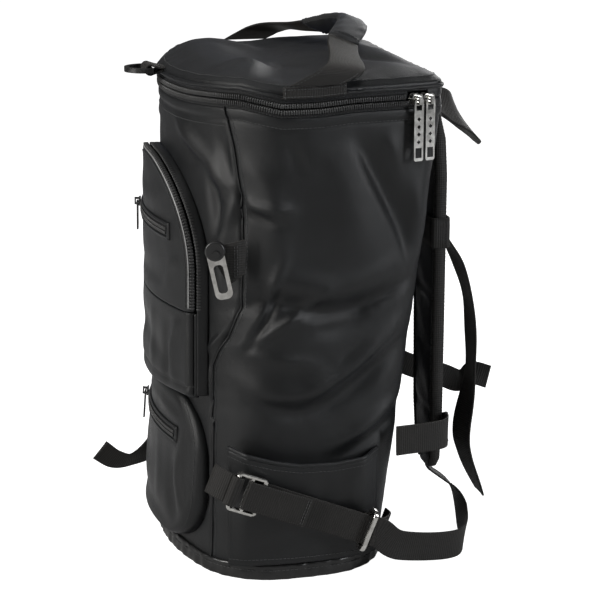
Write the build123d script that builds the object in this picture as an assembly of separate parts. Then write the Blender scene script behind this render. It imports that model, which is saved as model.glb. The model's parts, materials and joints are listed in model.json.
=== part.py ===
"""A soft rope storage bag that is worn as a backpack and stands on its base.

Millimetres. The origin is the centre of the base's resting face. +Z is up, the front with its two pockets
faces -Y, the back with the shoulder straps faces +Y, and the wearer's right is +X.
A fabric body of sewn panels tapers down to the base. Its lid opens on a coil zipper that runs round the
front and both sides, and folds back on a fabric hinge at the back.
"""
from build123d import *
import os
from math import asin, atan2, cos, degrees, pi, radians, sin, sqrt

os.makedirs("parts", exist_ok=True)

# ---- driving dimensions -------------------------------------------------------------------------------
RIM_WIDTH = 280.0          # outside width at the zipper
RIM_DEPTH = 206.0          # outside depth at the zipper
RIM_SHIFT = 23.0           # the rim's centre lies this far behind the base's centre
BASE_WIDTH = 262.0
BASE_DEPTH = 172.0
ZIP_Z = 395.0              # the line where the lid parts from the body
SIDE_RADIUS = 300.0        # the side walls bulge on this radius
FRONT_RADIUS = 220.0       # the front wall bulges on this radius
RIM_BACK_CORNER = 14.0
RIM_FRONT_CORNER = 75.0
BASE_BACK_CORNER = 58.0
BASE_FRONT_CORNER = 65.0

WALL = 2.5                 # lined fabric
BASE_THICK = 4.0
BOARD_THICK = 2.0          # stiffener in the base
BINDING_HEIGHT = 13.0      # coated band round the foot of the walls
BINDING_THICK = 2.5
FOAM_THICK = 5.0           # foam sheet inside the back panel

SEAM_FRONT_Y = -42.0       # the seams between the front panel and the side panels
SEAM_BACK_X = 100.0        # the seams between the back panel and the side panels

# coil zippers: the coil halves stand on the outside of their tapes, with a slit between them
TAPE_THICK = 1.0
TAPE_WIDTH = 9.0
COIL_WIDTH = 4.0
COIL_THICK = 2.6
SLIT = 1.2                 # between the two halves, for the slider's web
SMALL_TAPE_WIDTH = 6.0
SMALL_COIL_WIDTH = 2.6
SMALL_COIL_THICK = 1.8

# sliders and their pulls
PLATE_THICK = 1.5
PLAY = 0.35                # between a slider and the coil
WEB_THICK = 0.6
SLIDER_LENGTH = 9.6
SLIDER_HEIGHT = 9.0
BAIL_GAP = 2.8             # under the bail's bar
BAIL_BAR = 1.6
PULL_THICK = 1.6
PULL_WIDTH = 8.4
PULL_LENGTH = 49.0

# lid
SKIRT_HEIGHT = 3.0         # upright edge of the lid above its zipper tape
LID_RISE = 14.0            # crown above the skirt
LID_THICK = 4.0
LID_PIPING = 2.5

# carrying handle on the lid
HANDLE_Y = 17.0
HANDLE_WEB = 40.0
HANDLE_TAB = 52.0
HANDLE_TAB_HEIGHT = 12.0
WEBBING = 1.8              # thickness of webbing
GRIP_LENGTH = 100.0
GRIP_WIDTH = 28.0
GRIP_THICK = 11.0

# front pockets
POCKET_HALF = 96.0
POCKET_TOP = 341.0
POCKET_BOTTOM = 152.0
POCKET_CORNER = 86.0
POCKET_DEPTH = 15.0
POCKET_WALL = 2.0
FLAP_Z = 222.0             # the flap above this height folds down when its zipper is open
FLAP_RIM = 4.5             # depth of the flap's own edge in front of the zipper
FLAP_GAP = 1.2
POCKET_SLIT = 2.0
LOWER_TOP = 146.0
LOWER_BOTTOM = 17.0
LOWER_HALF = 98.0
LOWER_CORNER = 50.0
LOWER_FOOT_DEPTH = 15.0    # the lower pocket is a wedge, deepest at its foot
LOWER_HEAD_DEPTH = 7.0
FACE_ZIP_Z = 284.0
LOWER_ZIP_Z = 110.0
SMALL_ZIP_HALF = 66.0      # half the length of the two small zippers

# side pockets
SIDE_POCKET_TOP = 118.0
SIDE_POCKET_BOTTOM = 15.0
SIDE_POCKET_FRONT = -52.0
SIDE_POCKET_BACK = 74.0
SIDE_POCKET_MOUTH = 15.0   # how far the mouth stands off the side wall
SIDE_POCKET_FOOT = 4.0
SIDE_POCKET_WALL = 2.0

# straps
STRAP = 25.0               # webbing width
PAD_X = 65.0
PAD_WIDTH = 58.0
PAD_NECK = 26.0
PAD_THICK = 12.0
HAUL_WEB = 38.0


# ---- plan outlines ------------------------------------------------------------------------------------
def crossing(c0, r0, c1, r1):
    """The crossing of two circles that has the larger x."""
    dx, dy = c1[0] - c0[0], c1[1] - c0[1]
    d = sqrt(dx * dx + dy * dy)
    a = (r0 * r0 - r1 * r1 + d * d) / (2 * d)
    h = sqrt(r0 * r0 - a * a)
    mid = (c0[0] + dx * a / d, c0[1] + dy * a / d)
    both = [(mid[0] + k * h * dy / d, mid[1] - k * h * dx / d) for k in (1, -1)]
    return max(both)


class Outline:
    """A plan outline: a flat back, bulged sides and front, and four round corners, all tangent."""

    def __init__(self, width, depth, shift, back_corner, front_corner):
        self.width, self.depth, self.shift = width, depth, shift
        self.back_corner, self.front_corner = back_corner, front_corner
        self.side = (width / 2 - SIDE_RADIUS, shift)
        self.front = (0.0, shift - depth / 2 + FRONT_RADIUS)
        back_y = shift + depth / 2 - back_corner
        reach = SIDE_RADIUS - back_corner
        back_x = self.side[0] + sqrt(reach**2 - (back_y - shift) ** 2)
        self.back_centre = (back_x, back_y)
        self.front_centre = crossing(
            self.side, SIDE_RADIUS - front_corner, self.front, FRONT_RADIUS - front_corner
        )

    def angles(self):
        """Where the right half's arcs meet, as angles: front to corner, corner to side, side to corner."""
        fc, bc = self.front_centre, self.back_centre
        first = atan2(fc[1] - self.front[1], fc[0] - self.front[0])
        second = atan2(fc[1] - self.side[1], fc[0] - self.side[0])
        third = atan2(bc[1] - self.side[1], bc[0] - self.side[0])
        return first, second, third

    def face(self, offset, z):
        """The outline grown by offset, as a face at height z."""
        first, second, third = self.angles()
        right = [
            (self.front_centre, self.front_corner, first, second),
            (self.side, SIDE_RADIUS, second, third),
            (self.back_centre, self.back_corner, third, pi / 2),
        ]

        def arc(centre, radius, a, b, mirror):
            r, m = radius + offset, -1 if mirror else 1
            spots = [(m * (centre[0] + r * cos(t)), centre[1] + r * sin(t), z) for t in (a, (a + b) / 2, b)]
            return ThreePointArc(*(reversed(spots) if mirror else spots))

        front = arc(self.front, FRONT_RADIUS, -pi - first, first, False)
        right_side = [arc(*piece, False) for piece in right]
        left_side = [arc(*piece, True) for piece in reversed(right)]
        back_y = self.shift + self.depth / 2 + offset
        back = Line((self.back_centre[0], back_y, z), (-self.back_centre[0], back_y, z))
        return make_face(Wire([front, *right_side, back, *left_side]))

    def shrunk(self, by):
        """A smaller outline inside this one, with corners that stay round."""
        back = max(self.back_corner - 0.4 * by, 9.0)
        front = max(self.front_corner - 0.6 * by, 30.0)
        return Outline(self.width - 2 * by, self.depth - 2 * by, self.shift, back, front)

    def side_point(self, angle, out):
        """A point on the right side's arc at that angle, out of the wall."""
        r = SIDE_RADIUS + out
        return self.side[0] + r * cos(angle), self.side[1] + r * sin(angle)


RIM = Outline(RIM_WIDTH, RIM_DEPTH, RIM_SHIFT, RIM_BACK_CORNER, RIM_FRONT_CORNER)
BASE = Outline(BASE_WIDTH, BASE_DEPTH, 0.0, BASE_BACK_CORNER, BASE_FRONT_CORNER)
BODY_TOP = ZIP_Z - TAPE_WIDTH
BACK_WALL_RIM = RIM_SHIFT + RIM_DEPTH / 2


def body_block(offset):
    """The tapered body as a block, grown by offset."""
    return loft([BASE.face(offset, 0), RIM.face(offset, BODY_TOP)], ruled=True)


def rim_band(inner, outer, low, high):
    """An upright band that follows the rim."""
    ring = RIM.face(outer, low) - RIM.face(inner, low)
    return extrude(ring, high - low, dir=(0, 0, 1))


def slab(x0, x1, y0, y1, z0, z1):
    return Pos((x0 + x1) / 2, (y0 + y1) / 2, (z0 + z1) / 2) * Box(x1 - x0, y1 - y0, z1 - z0)


BIG = 400.0
BODY = body_block(0)


def back_wall(z):
    """The y of the back wall's outside at height z."""
    low = BASE_DEPTH / 2
    return low + (BACK_WALL_RIM - low) * z / BODY_TOP


# ---- webbing and padded strips -------------------------------------------------------------------------
def smooth(points, steps):
    """Points on a curve through the given ones, steps for each span."""
    p = [Vector(*q) for q in points]
    p = [p[0] * 2 - p[1], *p, p[-1] * 2 - p[-2]]
    out = []
    for i in range(1, len(p) - 2):
        for k in range(steps):
            t = k / steps
            a = p[i] * 2 + (p[i + 1] - p[i - 1]) * t
            b = (p[i - 1] * 2 - p[i] * 5 + p[i + 1] * 4 - p[i + 2]) * t**2
            c = (p[i] * 3 - p[i - 1] - p[i + 1] * 3 + p[i + 2]) * t**3
            out.append((a + b + c) * 0.5)
    return [*out, p[-2]]


def spread(value, count):
    return value if isinstance(value, list) else [value] * count


def strip(points, across, width, thick, bevel=0.0, square=True):
    """A strip along the points. across is the way its width points, or one such way for each point.
    A strip that isn't square has its sections along those ways just as given."""
    p = [Vector(*q) for q in points]
    ways, widths, thicks = (spread(v, len(p)) for v in (across, width, thick))
    sections = []
    for i, at in enumerate(p):
        along = (p[min(i + 1, len(p) - 1)] - p[max(i - 1, 0)]).normalized()
        way = Vector(*ways[i]).normalized()
        if square:
            way = (way - along * way.dot(along)).normalized()
        up = along.cross(way).normalized()
        w, t = widths[i] / 2, thicks[i] / 2
        if bevel:
            corners = [(w, t - bevel), (w - bevel, t), (bevel - w, t), (-w, t - bevel)]
            corners += [(-w, bevel - t), (bevel - w, -t), (w - bevel, -t), (w, bevel - t)]
        else:
            corners = [(w, t), (-w, t), (-w, -t), (w, -t)]
        sections.append(make_face(Polyline(*[at + way * a + up * b for a, b in corners], close=True)))
    return loft(sections, ruled=True)


def mirrored(shape):
    return shape.mirror(Plane.YZ)


def save(name, *solids):
    """Writes one node. Several solids stay separate in it."""
    shape = solids[0] if len(solids) == 1 else Compound(children=list(solids))
    export_step(shape, f"parts/{name}.step")


# ---- body ---------------------------------------------------------------------------------------------
def body_panels():
    inside = body_block(-WALL)
    shell = (BODY - inside) & slab(-BIG, BIG, -BIG, BIG, BASE_THICK, BODY_TOP)
    front = shell & slab(-BIG, BIG, -BIG, SEAM_FRONT_Y, 0, BIG + BIG)
    rest = shell & slab(-BIG, BIG, SEAM_FRONT_Y, BIG, 0, BIG + BIG)
    back = rest & slab(-SEAM_BACK_X, SEAM_BACK_X, 0, BIG, 0, BIG + BIG)
    sides = rest - slab(-SEAM_BACK_X, SEAM_BACK_X, 0, BIG, 0, BIG + BIG)
    save("front_panel", front)
    save("back_panel", back)
    save("side_panel_right", sides & slab(0, BIG, -BIG, BIG, 0, BIG + BIG))
    save("side_panel_left", sides & slab(-BIG, 0, -BIG, BIG, 0, BIG + BIG))


def base():
    save("base_panel", BODY & slab(-BIG, BIG, -BIG, BIG, 0, BASE_THICK))
    inside = body_block(-WALL - 1.0)
    save("base_board", inside & slab(-BIG, BIG, -BIG, BIG, BASE_THICK, BASE_THICK + BOARD_THICK))
    band = body_block(BINDING_THICK) - BODY
    save("base_binding", band & slab(-BIG, BIG, -BIG, BIG, 0, BINDING_HEIGHT))


def back_foam():
    """A foam sheet that lies against the back panel, inside."""
    low, high, half = BASE_THICK + BOARD_THICK + 2, BODY_TOP - 12, 66.0
    sheet = []
    for z in (low, high):
        y = back_wall(z) - WALL
        sheet.append([(0, y - FOAM_THICK, z), (0, y, z)])
    (a, b), (c, d) = sheet
    side = make_face(Polyline(a, b, d, c, close=True))
    save("back_foam", Pos(-half, 0, 0) * extrude(side, 2 * half, dir=(1, 0, 0)))


# ---- rim zipper ----------------------------------------------------------------------------------------
SLIDER_PITCH = 10.4
PARK_1 = asin((RIM.back_centre[1] - RIM_SHIFT) / (SIDE_RADIUS - RIM_BACK_CORNER)) - 6.5 / SIDE_RADIUS
PARK_2 = PARK_1 - SLIDER_PITCH / SIDE_RADIUS
ZIP_END_X = RIM.back_centre[0] + 8.0   # the zipper's halves end on the back corners


def rim_half(upper):
    """One half of the rim zipper: its tape and its coil, open at the back."""
    sign = 1 if upper else -1
    near = ZIP_Z + sign * SLIT / 2
    tape_far = ZIP_Z + sign * TAPE_WIDTH
    coil_far = near + sign * COIL_WIDTH
    tape = rim_band(-TAPE_THICK, 0, min(near, tape_far), max(near, tape_far))
    coil = rim_band(0, COIL_THICK, min(near, coil_far), max(near, coil_far))
    gap = slab(-ZIP_END_X, ZIP_END_X, RIM_SHIFT, BIG, 0, BIG + BIG)
    parts = [tape - gap, coil - gap]
    if upper:   # it stops short of the parked sliders, so that it lifts away from them
        x, y = RIM.side_point(PARK_2 - 7.0 / SIDE_RADIUS, 0)
        parked = slab(0, BIG, y, BIG, 0, BIG + BIG)
        parts = [piece - parked for piece in parts]
    return parts


def rim_zipper():
    save("rim_zip_lower", *rim_half(False))
    save("rim_zip_upper", *rim_half(True))
    strip_band = rim_band(-TAPE_THICK, 0, BODY_TOP, ZIP_Z - SLIT / 2)
    save("lid_hinge_strip", strip_band & slab(-ZIP_END_X, ZIP_END_X, RIM_SHIFT, BIG, 0, BIG + BIG))


def slider(length, height, coil, tape):
    """A slider: X along the chain, Y up across it, Z out of the tape. The tape's outside is Z = 0."""
    inner = -tape - PLAY - PLATE_THICK
    outer = coil + PLAY
    plates = Pos(0, 0, inner + PLATE_THICK / 2) * Box(length, height, PLATE_THICK)
    plates += Pos(0, 0, outer + PLATE_THICK / 2) * Box(length, height, PLATE_THICK)
    plates = fillet(plates.edges().filter_by(Axis.Z), 2.2)
    web = Pos(0, 0, (inner + outer) / 2 + PLATE_THICK / 2) * Box(length * 0.6, WEB_THICK, outer - inner)
    top = outer + PLATE_THICK
    return plates + web + bail(height / 2 - 1.2, top, BAIL_BAR), top + BAIL_GAP / 2


def pull(width, length, wide_end):
    """A pull that hangs from its eye's top strip, whose centre is the origin. Y up, Z out."""
    eye = 1.5
    body = Pos(0, eye / 2 - length / 2, 0) * Box(width, length, PULL_THICK)
    body = fillet(body.edges().filter_by(Axis.Z), width * 0.22)
    eye_window = Pos(0, -eye / 2 - 3.6, 0) * Box(width - 2 * 1.7, 7.2, PULL_THICK * 2)
    window = Pos(0, wide_end + 5.0 + eye / 2 - length, 0) * Box(width - 3.0, 8.0, PULL_THICK * 2)
    body -= eye_window + window
    first = -15.0
    step = 6.0
    spots = int((length - 31.0) // step) + 1
    for k in range(spots):
        hole = Pos(0, first - k * step, 0) * Rot(0, 0, 45) * Box(2.4, 2.4, PULL_THICK * 2)
        body -= hole
    return body


def on_rim(angle, out=0.0):
    """The frame of a slider on the right side of the rim: X along the wall, Y up, Z out."""
    x, y = RIM.side_point(angle, out)
    return Plane(origin=(x, y, ZIP_Z), x_dir=(-sin(angle), cos(angle), 0), z_dir=(cos(angle), sin(angle), 0))


def rim_sliders():
    for number, angle in ((1, PARK_1), (2, PARK_2)):
        body, axis_out = slider(SLIDER_LENGTH, SLIDER_HEIGHT, COIL_THICK, TAPE_THICK)
        place = on_rim(angle)
        save(f"rim_slider_{number}", place * body)
        hang = place * Pos(0, 0, axis_out)
        save(f"rim_pull_{number}", hang * pull(PULL_WIDTH, PULL_LENGTH, 1.5))


# ---- lid -----------------------------------------------------------------------------------------------
LID_LOW = ZIP_Z + TAPE_WIDTH
SKIRT_TOP = LID_LOW + SKIRT_HEIGHT
LID_STEPS = ((0.0, 0.0), (5.0, 0.3), (14.0, 0.55), (30.0, 0.8), (50.0, 1.0))   # inset, share of the rise


def lid_block(inset, drop):
    """The lid as a block: an upright skirt and a low crown."""
    outer = RIM.shrunk(inset) if inset else RIM
    skirt = extrude(outer.face(0, LID_LOW), SKIRT_HEIGHT, dir=(0, 0, 1))
    faces = []
    for step, share in LID_STEPS:
        faces.append(RIM.shrunk(inset + step).face(0, SKIRT_TOP + share * (LID_RISE - drop)))
    return skirt + loft(faces, ruled=True)


HANDLE_TAB_Z = ZIP_Z + SLIT / 2 + COIL_WIDTH + 0.4


def lid():
    save("lid_panel", lid_block(0, 0) - lid_block(LID_THICK, LID_THICK))
    save("lid_piping", rim_band(0, LID_PIPING, LID_LOW - 1.0, LID_LOW + 2.0))
    band = rim_band(LID_PIPING, LID_PIPING + WEBBING, HANDLE_TAB_Z, HANDLE_TAB_Z + HANDLE_TAB_HEIGHT)
    half = HANDLE_TAB / 2
    right = band & slab(0, BIG, HANDLE_Y - half, HANDLE_Y + half, 0, BIG + BIG)
    save("handle_anchors", right, mirrored(right))
    back = rim_band(-TAPE_THICK, 0, ZIP_Z + SLIT / 2, LID_LOW)
    save("lid_back_band", back & slab(-ZIP_END_X, ZIP_END_X, RIM_SHIFT, BIG, 0, BIG + BIG))


# the handle leans back over the lid on its two feet, which are sewn outside the anchors
HANDLE_LEAN = 64.0
HANDLE_FOOT_Z = HANDLE_TAB_Z + HANDLE_TAB_HEIGHT - 1.0
HANDLE_HALF = RIM_WIDTH / 2 + LID_PIPING + WEBBING * 1.5 + 0.35
HANDLE_TURN = radians(22.0)


def handle_spot(x, reach):
    """A point of the handle at x, reach out from the hinge line through its feet."""
    lean = radians(HANDLE_LEAN)
    return x, HANDLE_Y + reach * sin(lean), HANDLE_FOOT_Z + reach * cos(lean)


def handle():
    end = GRIP_LENGTH / 2
    leg = [(HANDLE_HALF, 0.0), (HANDLE_HALF + 0.6, 10.0), (HANDLE_HALF, 20.0), (HANDLE_HALF - 8, 28.0)]
    leg += [(HANDLE_HALF - 24, 33.0), (97.0, 38.0), (72.0, 43.5), (end + 1.5, 49.5)]
    path = smooth([handle_spot(*p) for p in leg], 2)
    last = len(path) - 1
    ways = []
    for i in range(last + 1):   # the webbing turns from lying along the rim to the slope of the grip
        turn = HANDLE_TURN * i / last
        ways.append((0, cos(turn), -sin(turn)))
    widths = [HANDLE_WEB - (HANDLE_WEB - 26.0) * min(1.0, i / (last - 5)) for i in range(last + 1)]
    right = strip(path, ways, widths, WEBBING, square=False)
    save("handle_webbing", right, mirrored(right))
    top = [(x, 50.0 + 20.5 * cos(pi * x / (2 * end)) ** 1.2) for x in (0.0, 13.0, 26.0, 39.0, end - 0.001)]
    grip = [handle_spot(*p) for p in [(-x, r) for x, r in reversed(top[1:])] + top]
    way = (0, cos(HANDLE_TURN), -sin(HANDLE_TURN))
    save("handle_grip", strip(grip, way, GRIP_WIDTH, GRIP_THICK, 3.5, square=False))


# ---- D-ring at the front of the lid ---------------------------------------------------------------------
RING_WIRE = 4.0
DRING_INSIDE = 26.0
DRING_REACH = 18.0
DRING_Z = LID_LOW + 3.5
FRONT_WALL_RIM = RIM_SHIFT - RIM_DEPTH / 2
DRING_BAR_Y = FRONT_WALL_RIM - LID_PIPING - 9.0


def dring_face(half, reach):
    """A D: straight at y = 0 and round towards -y."""
    r = min(half, reach)
    d = make_face(Polyline((-half, 0), (half, 0), (half, r - reach), (-half, r - reach), close=True))
    return d + Pos(0, r - reach) * Circle(half)


def front_dring():
    half = DRING_INSIDE / 2
    outer = extrude(dring_face(half + RING_WIRE, DRING_REACH + RING_WIRE), RING_WIRE, both=False)
    outer &= slab(-BIG, BIG, -BIG, 0, -1, BIG)
    hole = extrude(Pos(0, -RING_WIRE) * dring_face(half, DRING_REACH - RING_WIRE), RING_WIRE * 3, both=True)
    hole &= slab(-half, half, -BIG, -RING_WIRE, -BIG, BIG)
    ring = outer - hole
    place = Pos(0, DRING_BAR_Y + RING_WIRE / 2, DRING_Z - RING_WIRE / 2)
    save("front_dring", place * ring)
    gap = RING_WIRE / 2 * sqrt(2) + 0.35
    loop = Pos(0, DRING_BAR_Y, DRING_Z) * Rot(0, 90, 0) * Cylinder(gap + WEBBING, DRING_INSIDE - 1.0)
    loop += slab(-half + 0.5, half - 0.5, DRING_BAR_Y, FRONT_WALL_RIM + 2.0, DRING_Z - 2.0, DRING_Z + 2.0)
    loop -= Pos(0, DRING_BAR_Y, DRING_Z) * Rot(0, 90, 0) * Cylinder(gap, DRING_INSIDE + 1.0)
    solid_lid = lid_block(0, 0) + rim_band(-1, LID_PIPING, LID_LOW - 1.0, LID_LOW + 2.0)
    loop -= solid_lid
    save("dring_tab", max(loop.solids(), key=lambda s: s.volume))


# ---- front pockets --------------------------------------------------------------------------------------
def arch(half, low, high, corner):
    """A pocket's front view, extruded through the whole bag: square below and round above."""
    face = RectangleRounded(2 * half, high - low, corner)
    face += Pos(0, -(high - low) / 4) * Rectangle(2 * half, (high - low) / 2)
    return extrude(Plane.XZ * Pos(0, (high + low) / 2) * face, BIG, both=True)


def shell_between(inner, outer):
    return body_block(outer) - body_block(inner)


MID = POCKET_DEPTH - FLAP_RIM - POCKET_SLIT / 2      # the line where the pocket's zipper parts


def upper_pocket():
    """A bellows pocket. Its zipper runs up one side, over the top and down the other, and parts a flap from
    the gusset. The flap folds down about its foot."""
    whole = arch(POCKET_HALF, POCKET_BOTTOM, POCKET_TOP, POCKET_CORNER)
    wall = POCKET_WALL
    inside = arch(POCKET_HALF - wall, POCKET_BOTTOM + wall, POCKET_TOP - wall, POCKET_CORNER - wall)
    front = slab(-BIG, BIG, -BIG, SEAM_FRONT_Y, 0, BIG + BIG)
    above = slab(-BIG, BIG, -BIG, BIG, FLAP_Z + FLAP_GAP, BIG + BIG)
    below = slab(-BIG, BIG, -BIG, BIG, 0, FLAP_Z)
    rear_edge, front_edge = MID - POCKET_SLIT / 2, MID + POCKET_SLIT / 2
    ring = (whole - inside) & front
    foot = ring & shell_between(rear_edge, POCKET_DEPTH - wall) & below
    save("pocket_gusset", ring & shell_between(0, rear_edge))
    face = shell_between(POCKET_DEPTH - wall, POCKET_DEPTH) & whole & front
    save("pocket_front_lower", (face & below) + foot)
    save("pocket_flap", (face & above) + (ring & shell_between(front_edge, POCKET_DEPTH - wall) & above))
    coil = SMALL_COIL_THICK
    grown = arch(POCKET_HALF + coil, POCKET_BOTTOM, POCKET_TOP + coil, POCKET_CORNER + coil)
    bead = (grown - whole) & front & above
    save("pocket_zip_rear", bead & shell_between(rear_edge - COIL_WIDTH, rear_edge))
    parked = slab(-BIG, 0, -BIG, BIG, 0, FLAP_Z + FLAP_GAP + 14.0)
    save("pocket_zip_front", (bead & shell_between(front_edge, front_edge + COIL_WIDTH)) - parked)


def upper_face(by):
    """The upper pocket's outside grown by that much, as a block."""
    return body_block(POCKET_DEPTH + by)


def lower_face(by):
    return grown_between(LOWER_BOTTOM, LOWER_FOOT_DEPTH + by, LOWER_TOP, LOWER_HEAD_DEPTH + by)


def upper_out(z):
    """How far the upper pocket's outside stands off the body at height z."""
    return POCKET_DEPTH


def lower_out(z):
    share = (z - LOWER_BOTTOM) / (LOWER_TOP - LOWER_BOTTOM)
    return LOWER_FOOT_DEPTH + (LOWER_HEAD_DEPTH - LOWER_FOOT_DEPTH) * share


def small_zip(z, face, name):
    """A short zipper on a pocket's face: a tape, and a coil in two halves."""
    half = SMALL_ZIP_HALF
    tape = face(TAPE_THICK) - face(0)
    tape &= slab(-half, half, -BIG, 0, z - SMALL_TAPE_WIDTH, z + SMALL_TAPE_WIDTH)
    bead = face(TAPE_THICK + SMALL_COIL_THICK) - face(TAPE_THICK)
    coils = []
    for sign in (1, -1):
        near = z + sign * SLIT / 2
        far = near + sign * SMALL_COIL_WIDTH
        coils.append(bead & slab(-half, half, -BIG, 0, min(near, far), max(near, far)))
    save(name, tape, *coils)


def bail(half, top, bar):
    """A slider's bail: a bar along Y on two posts that stand on its top plate."""
    over = Pos(0, 0, top + BAIL_GAP + bar / 2) * Box(2.2, 2 * half, bar)
    for y in (half - 0.8, 0.8 - half):
        over += Pos(0, y, top + (BAIL_GAP + bar) / 2) * Box(2.2, 1.6, BAIL_GAP + bar)
    return over


def small_slider(z, out, name):
    """A small slider on the outside of a short zipper, with its pull."""
    x = 9.0 - SMALL_ZIP_HALF
    low, mid, high = (Vector(x, front_y(x, q, out(q) + TAPE_THICK), q) for q in (z - 3.0, z, z + 3.0))
    angle = asin(x / (FRONT_RADIUS + out(z) + TAPE_THICK))
    along = Vector(cos(angle), sin(angle), 0)
    place = Plane(origin=mid, x_dir=along, z_dir=along.cross((high - low).normalized()))
    plate, play = 1.2, 0.55
    under = SMALL_COIL_THICK + play
    body = Pos(0, 0, under + plate / 2) * Box(8.0, 8.0, plate)
    body = fillet(body.edges().filter_by(Axis.Z), 1.6)
    body += Pos(0, 0, (under + play) / 2) * Box(4.0, WEB_THICK, under - play)
    top = under + plate
    body += bail(3.2, top, 1.2)
    save(f"{name}_slider", place * body)
    hang = place * Pos(0, 0, top + BAIL_GAP / 2)
    thin = fillet((Pos(0, 0.6 - 13.0, 0) * Box(6.4, 26.0, 1.2)).edges().filter_by(Axis.Z), 1.6)
    thin -= Pos(0, -0.6 - 2.7, 0) * Box(3.6, 5.4, 4.0)
    thin -= Pos(0, -19.5, 0) * Box(3.0, 6.0, 4.0)
    save(f"{name}_pull", hang * thin)


def outline_at(z):
    """The body's outline at a height."""
    t = z / BODY_TOP
    mix = [a + (b - a) * t for a, b in (
        (BASE_WIDTH, RIM_WIDTH), (BASE_DEPTH, RIM_DEPTH), (0.0, RIM_SHIFT),
        (BASE_BACK_CORNER, RIM_BACK_CORNER), (BASE_FRONT_CORNER, RIM_FRONT_CORNER))]
    return Outline(*mix)


def front_y(x, z, out):
    """y of the front at x and height z, out of the wall."""
    return outline_at(z).front[1] - sqrt((FRONT_RADIUS + out) ** 2 - x * x)


def pocket_slider():
    """The flap's slider, parked at the foot of the left side, and its pull."""
    z = FLAP_Z + FLAP_GAP + 7.0
    x = -POCKET_HALF
    y = side_front_y(outline_at(z), 1.4 - x, MID)
    plate, play = 1.5, 0.45
    under = SMALL_COIL_THICK + play
    body = Pos(0, 0, under + plate / 2) * Box(10.5, 9.0, plate)
    body = fillet(body.edges().filter_by(Axis.Z), 2.0)
    body += Pos(0, 0, under / 2 + 0.45) * Box(WEB_THICK, 5.0, under - 0.9)
    top = under + plate
    body += bail(3.8, top, BAIL_BAR)
    place = Plane(origin=(x, y, z), x_dir=(0, -1, 0), z_dir=(-1, 0, 0))
    save("pocket_slider", place * body)
    save("pocket_pull", place * Pos(0, 0, top + BAIL_GAP / 2) * pull(7.0, 37.0, 1.5))


def side_front_y(o, x, out):
    """y of the outline grown by out, at x, on its front half."""
    first = o.angles()[0]
    r = FRONT_RADIUS + out
    edge = o.front[0] + r * cos(first)
    if x < edge:
        return o.front[1] - sqrt(r * r - x * x)
    rc = o.front_corner + out
    return o.front_centre[1] - sqrt(max(rc * rc - (x - o.front_centre[0]) ** 2, 0.0))


def lower_pocket():
    half, low, high, wall = LOWER_HALF, LOWER_BOTTOM, LOWER_TOP, POCKET_WALL
    middle = Plane.XZ * Pos(0, (high + low) / 2)
    whole = extrude(middle * RectangleRounded(2 * half, high - low, LOWER_CORNER), BIG, both=True)
    hollow = RectangleRounded(2 * (half - wall), high - low - 2 * wall, LOWER_CORNER - wall)
    front = slab(-BIG, BIG, -BIG, SEAM_FRONT_Y, 0, BIG + BIG)
    space = lower_face(-wall) & extrude(middle * hollow, BIG, both=True)
    save("lower_pocket", (lower_face(0) & whole & front) - BODY - space)


# ---- side pockets ---------------------------------------------------------------------------------------
def grown_between(low, low_offset, high, high_offset):
    """A block that follows the tapered body between two heights, grown by those offsets."""
    ends = [outline_at(low).face(low_offset, low), outline_at(high).face(high_offset, high)]
    return loft(ends, ruled=True)


def side_pockets():
    low, high = SIDE_POCKET_BOTTOM, SIDE_POCKET_TOP
    outer = grown_between(low, SIDE_POCKET_FOOT, high, SIDE_POCKET_MOUTH)
    wall = SIDE_POCKET_WALL
    inner = grown_between(low, SIDE_POCKET_FOOT - wall, high, SIDE_POCKET_MOUTH - wall)
    block = (outer - BODY) & slab(0, BIG, SIDE_POCKET_FRONT, SIDE_POCKET_BACK, low, high)
    space = inner & slab(0, BIG, SIDE_POCKET_FRONT + wall, SIDE_POCKET_BACK - wall, low + wall, BIG)
    right = block - space
    save("side_pocket_right", right)
    save("side_pocket_left", mirrored(right))


# ---- ladder locks, side straps and their rings -----------------------------------------------------------
LOCK_AT = (-40.0, 84.0)       # y and z of the lock's centre
RING_AT = (60.0, 44.0)        # y and z where the strap passes its ring
LOCK_LENGTH = 27.0
LOCK_WIDTH = 33.0
LOCK_THICK = 4.5
LOCK_BAR = 4.0
STRAP_STAND = 19.0            # the strap's line stands this far out of the side wall
RING_INSIDE = 8.0
RING_BAR = 4.2
RING_INNER = -(RING_INSIDE + RING_BAR) / 2      # the ring's inner bar, out of the strap's line
RUN = Vector(0, RING_AT[0] - LOCK_AT[0], RING_AT[1] - LOCK_AT[1]).normalized()


RING_DISTANCE = (Vector(0, *RING_AT) - Vector(0, *LOCK_AT)).length + 1.0


def side_x(y, z, out):
    """x of the right side at y and z, out of the wall."""
    o = outline_at(z)
    return o.side[0] + sqrt((SIDE_RADIUS + out) ** 2 - (y - o.side[1]) ** 2)


def strap_plane(distance, out=0.0):
    """The frame of a thing on the side strap's line, distance behind the lock's centre:
    X along the strap, Y across it, Z out of the bag."""
    start = Vector(side_x(LOCK_AT[0], LOCK_AT[1], STRAP_STAND), *LOCK_AT)
    end = Vector(side_x(RING_AT[0], RING_AT[1], STRAP_STAND), *RING_AT)
    along = (end - start).normalized()
    across = Vector(0, -along.Z, along.Y).normalized()
    out_way = along.cross(across)
    origin = start + along * distance + out_way * out
    return Plane(origin=origin, x_dir=along, z_dir=out_way)


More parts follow.
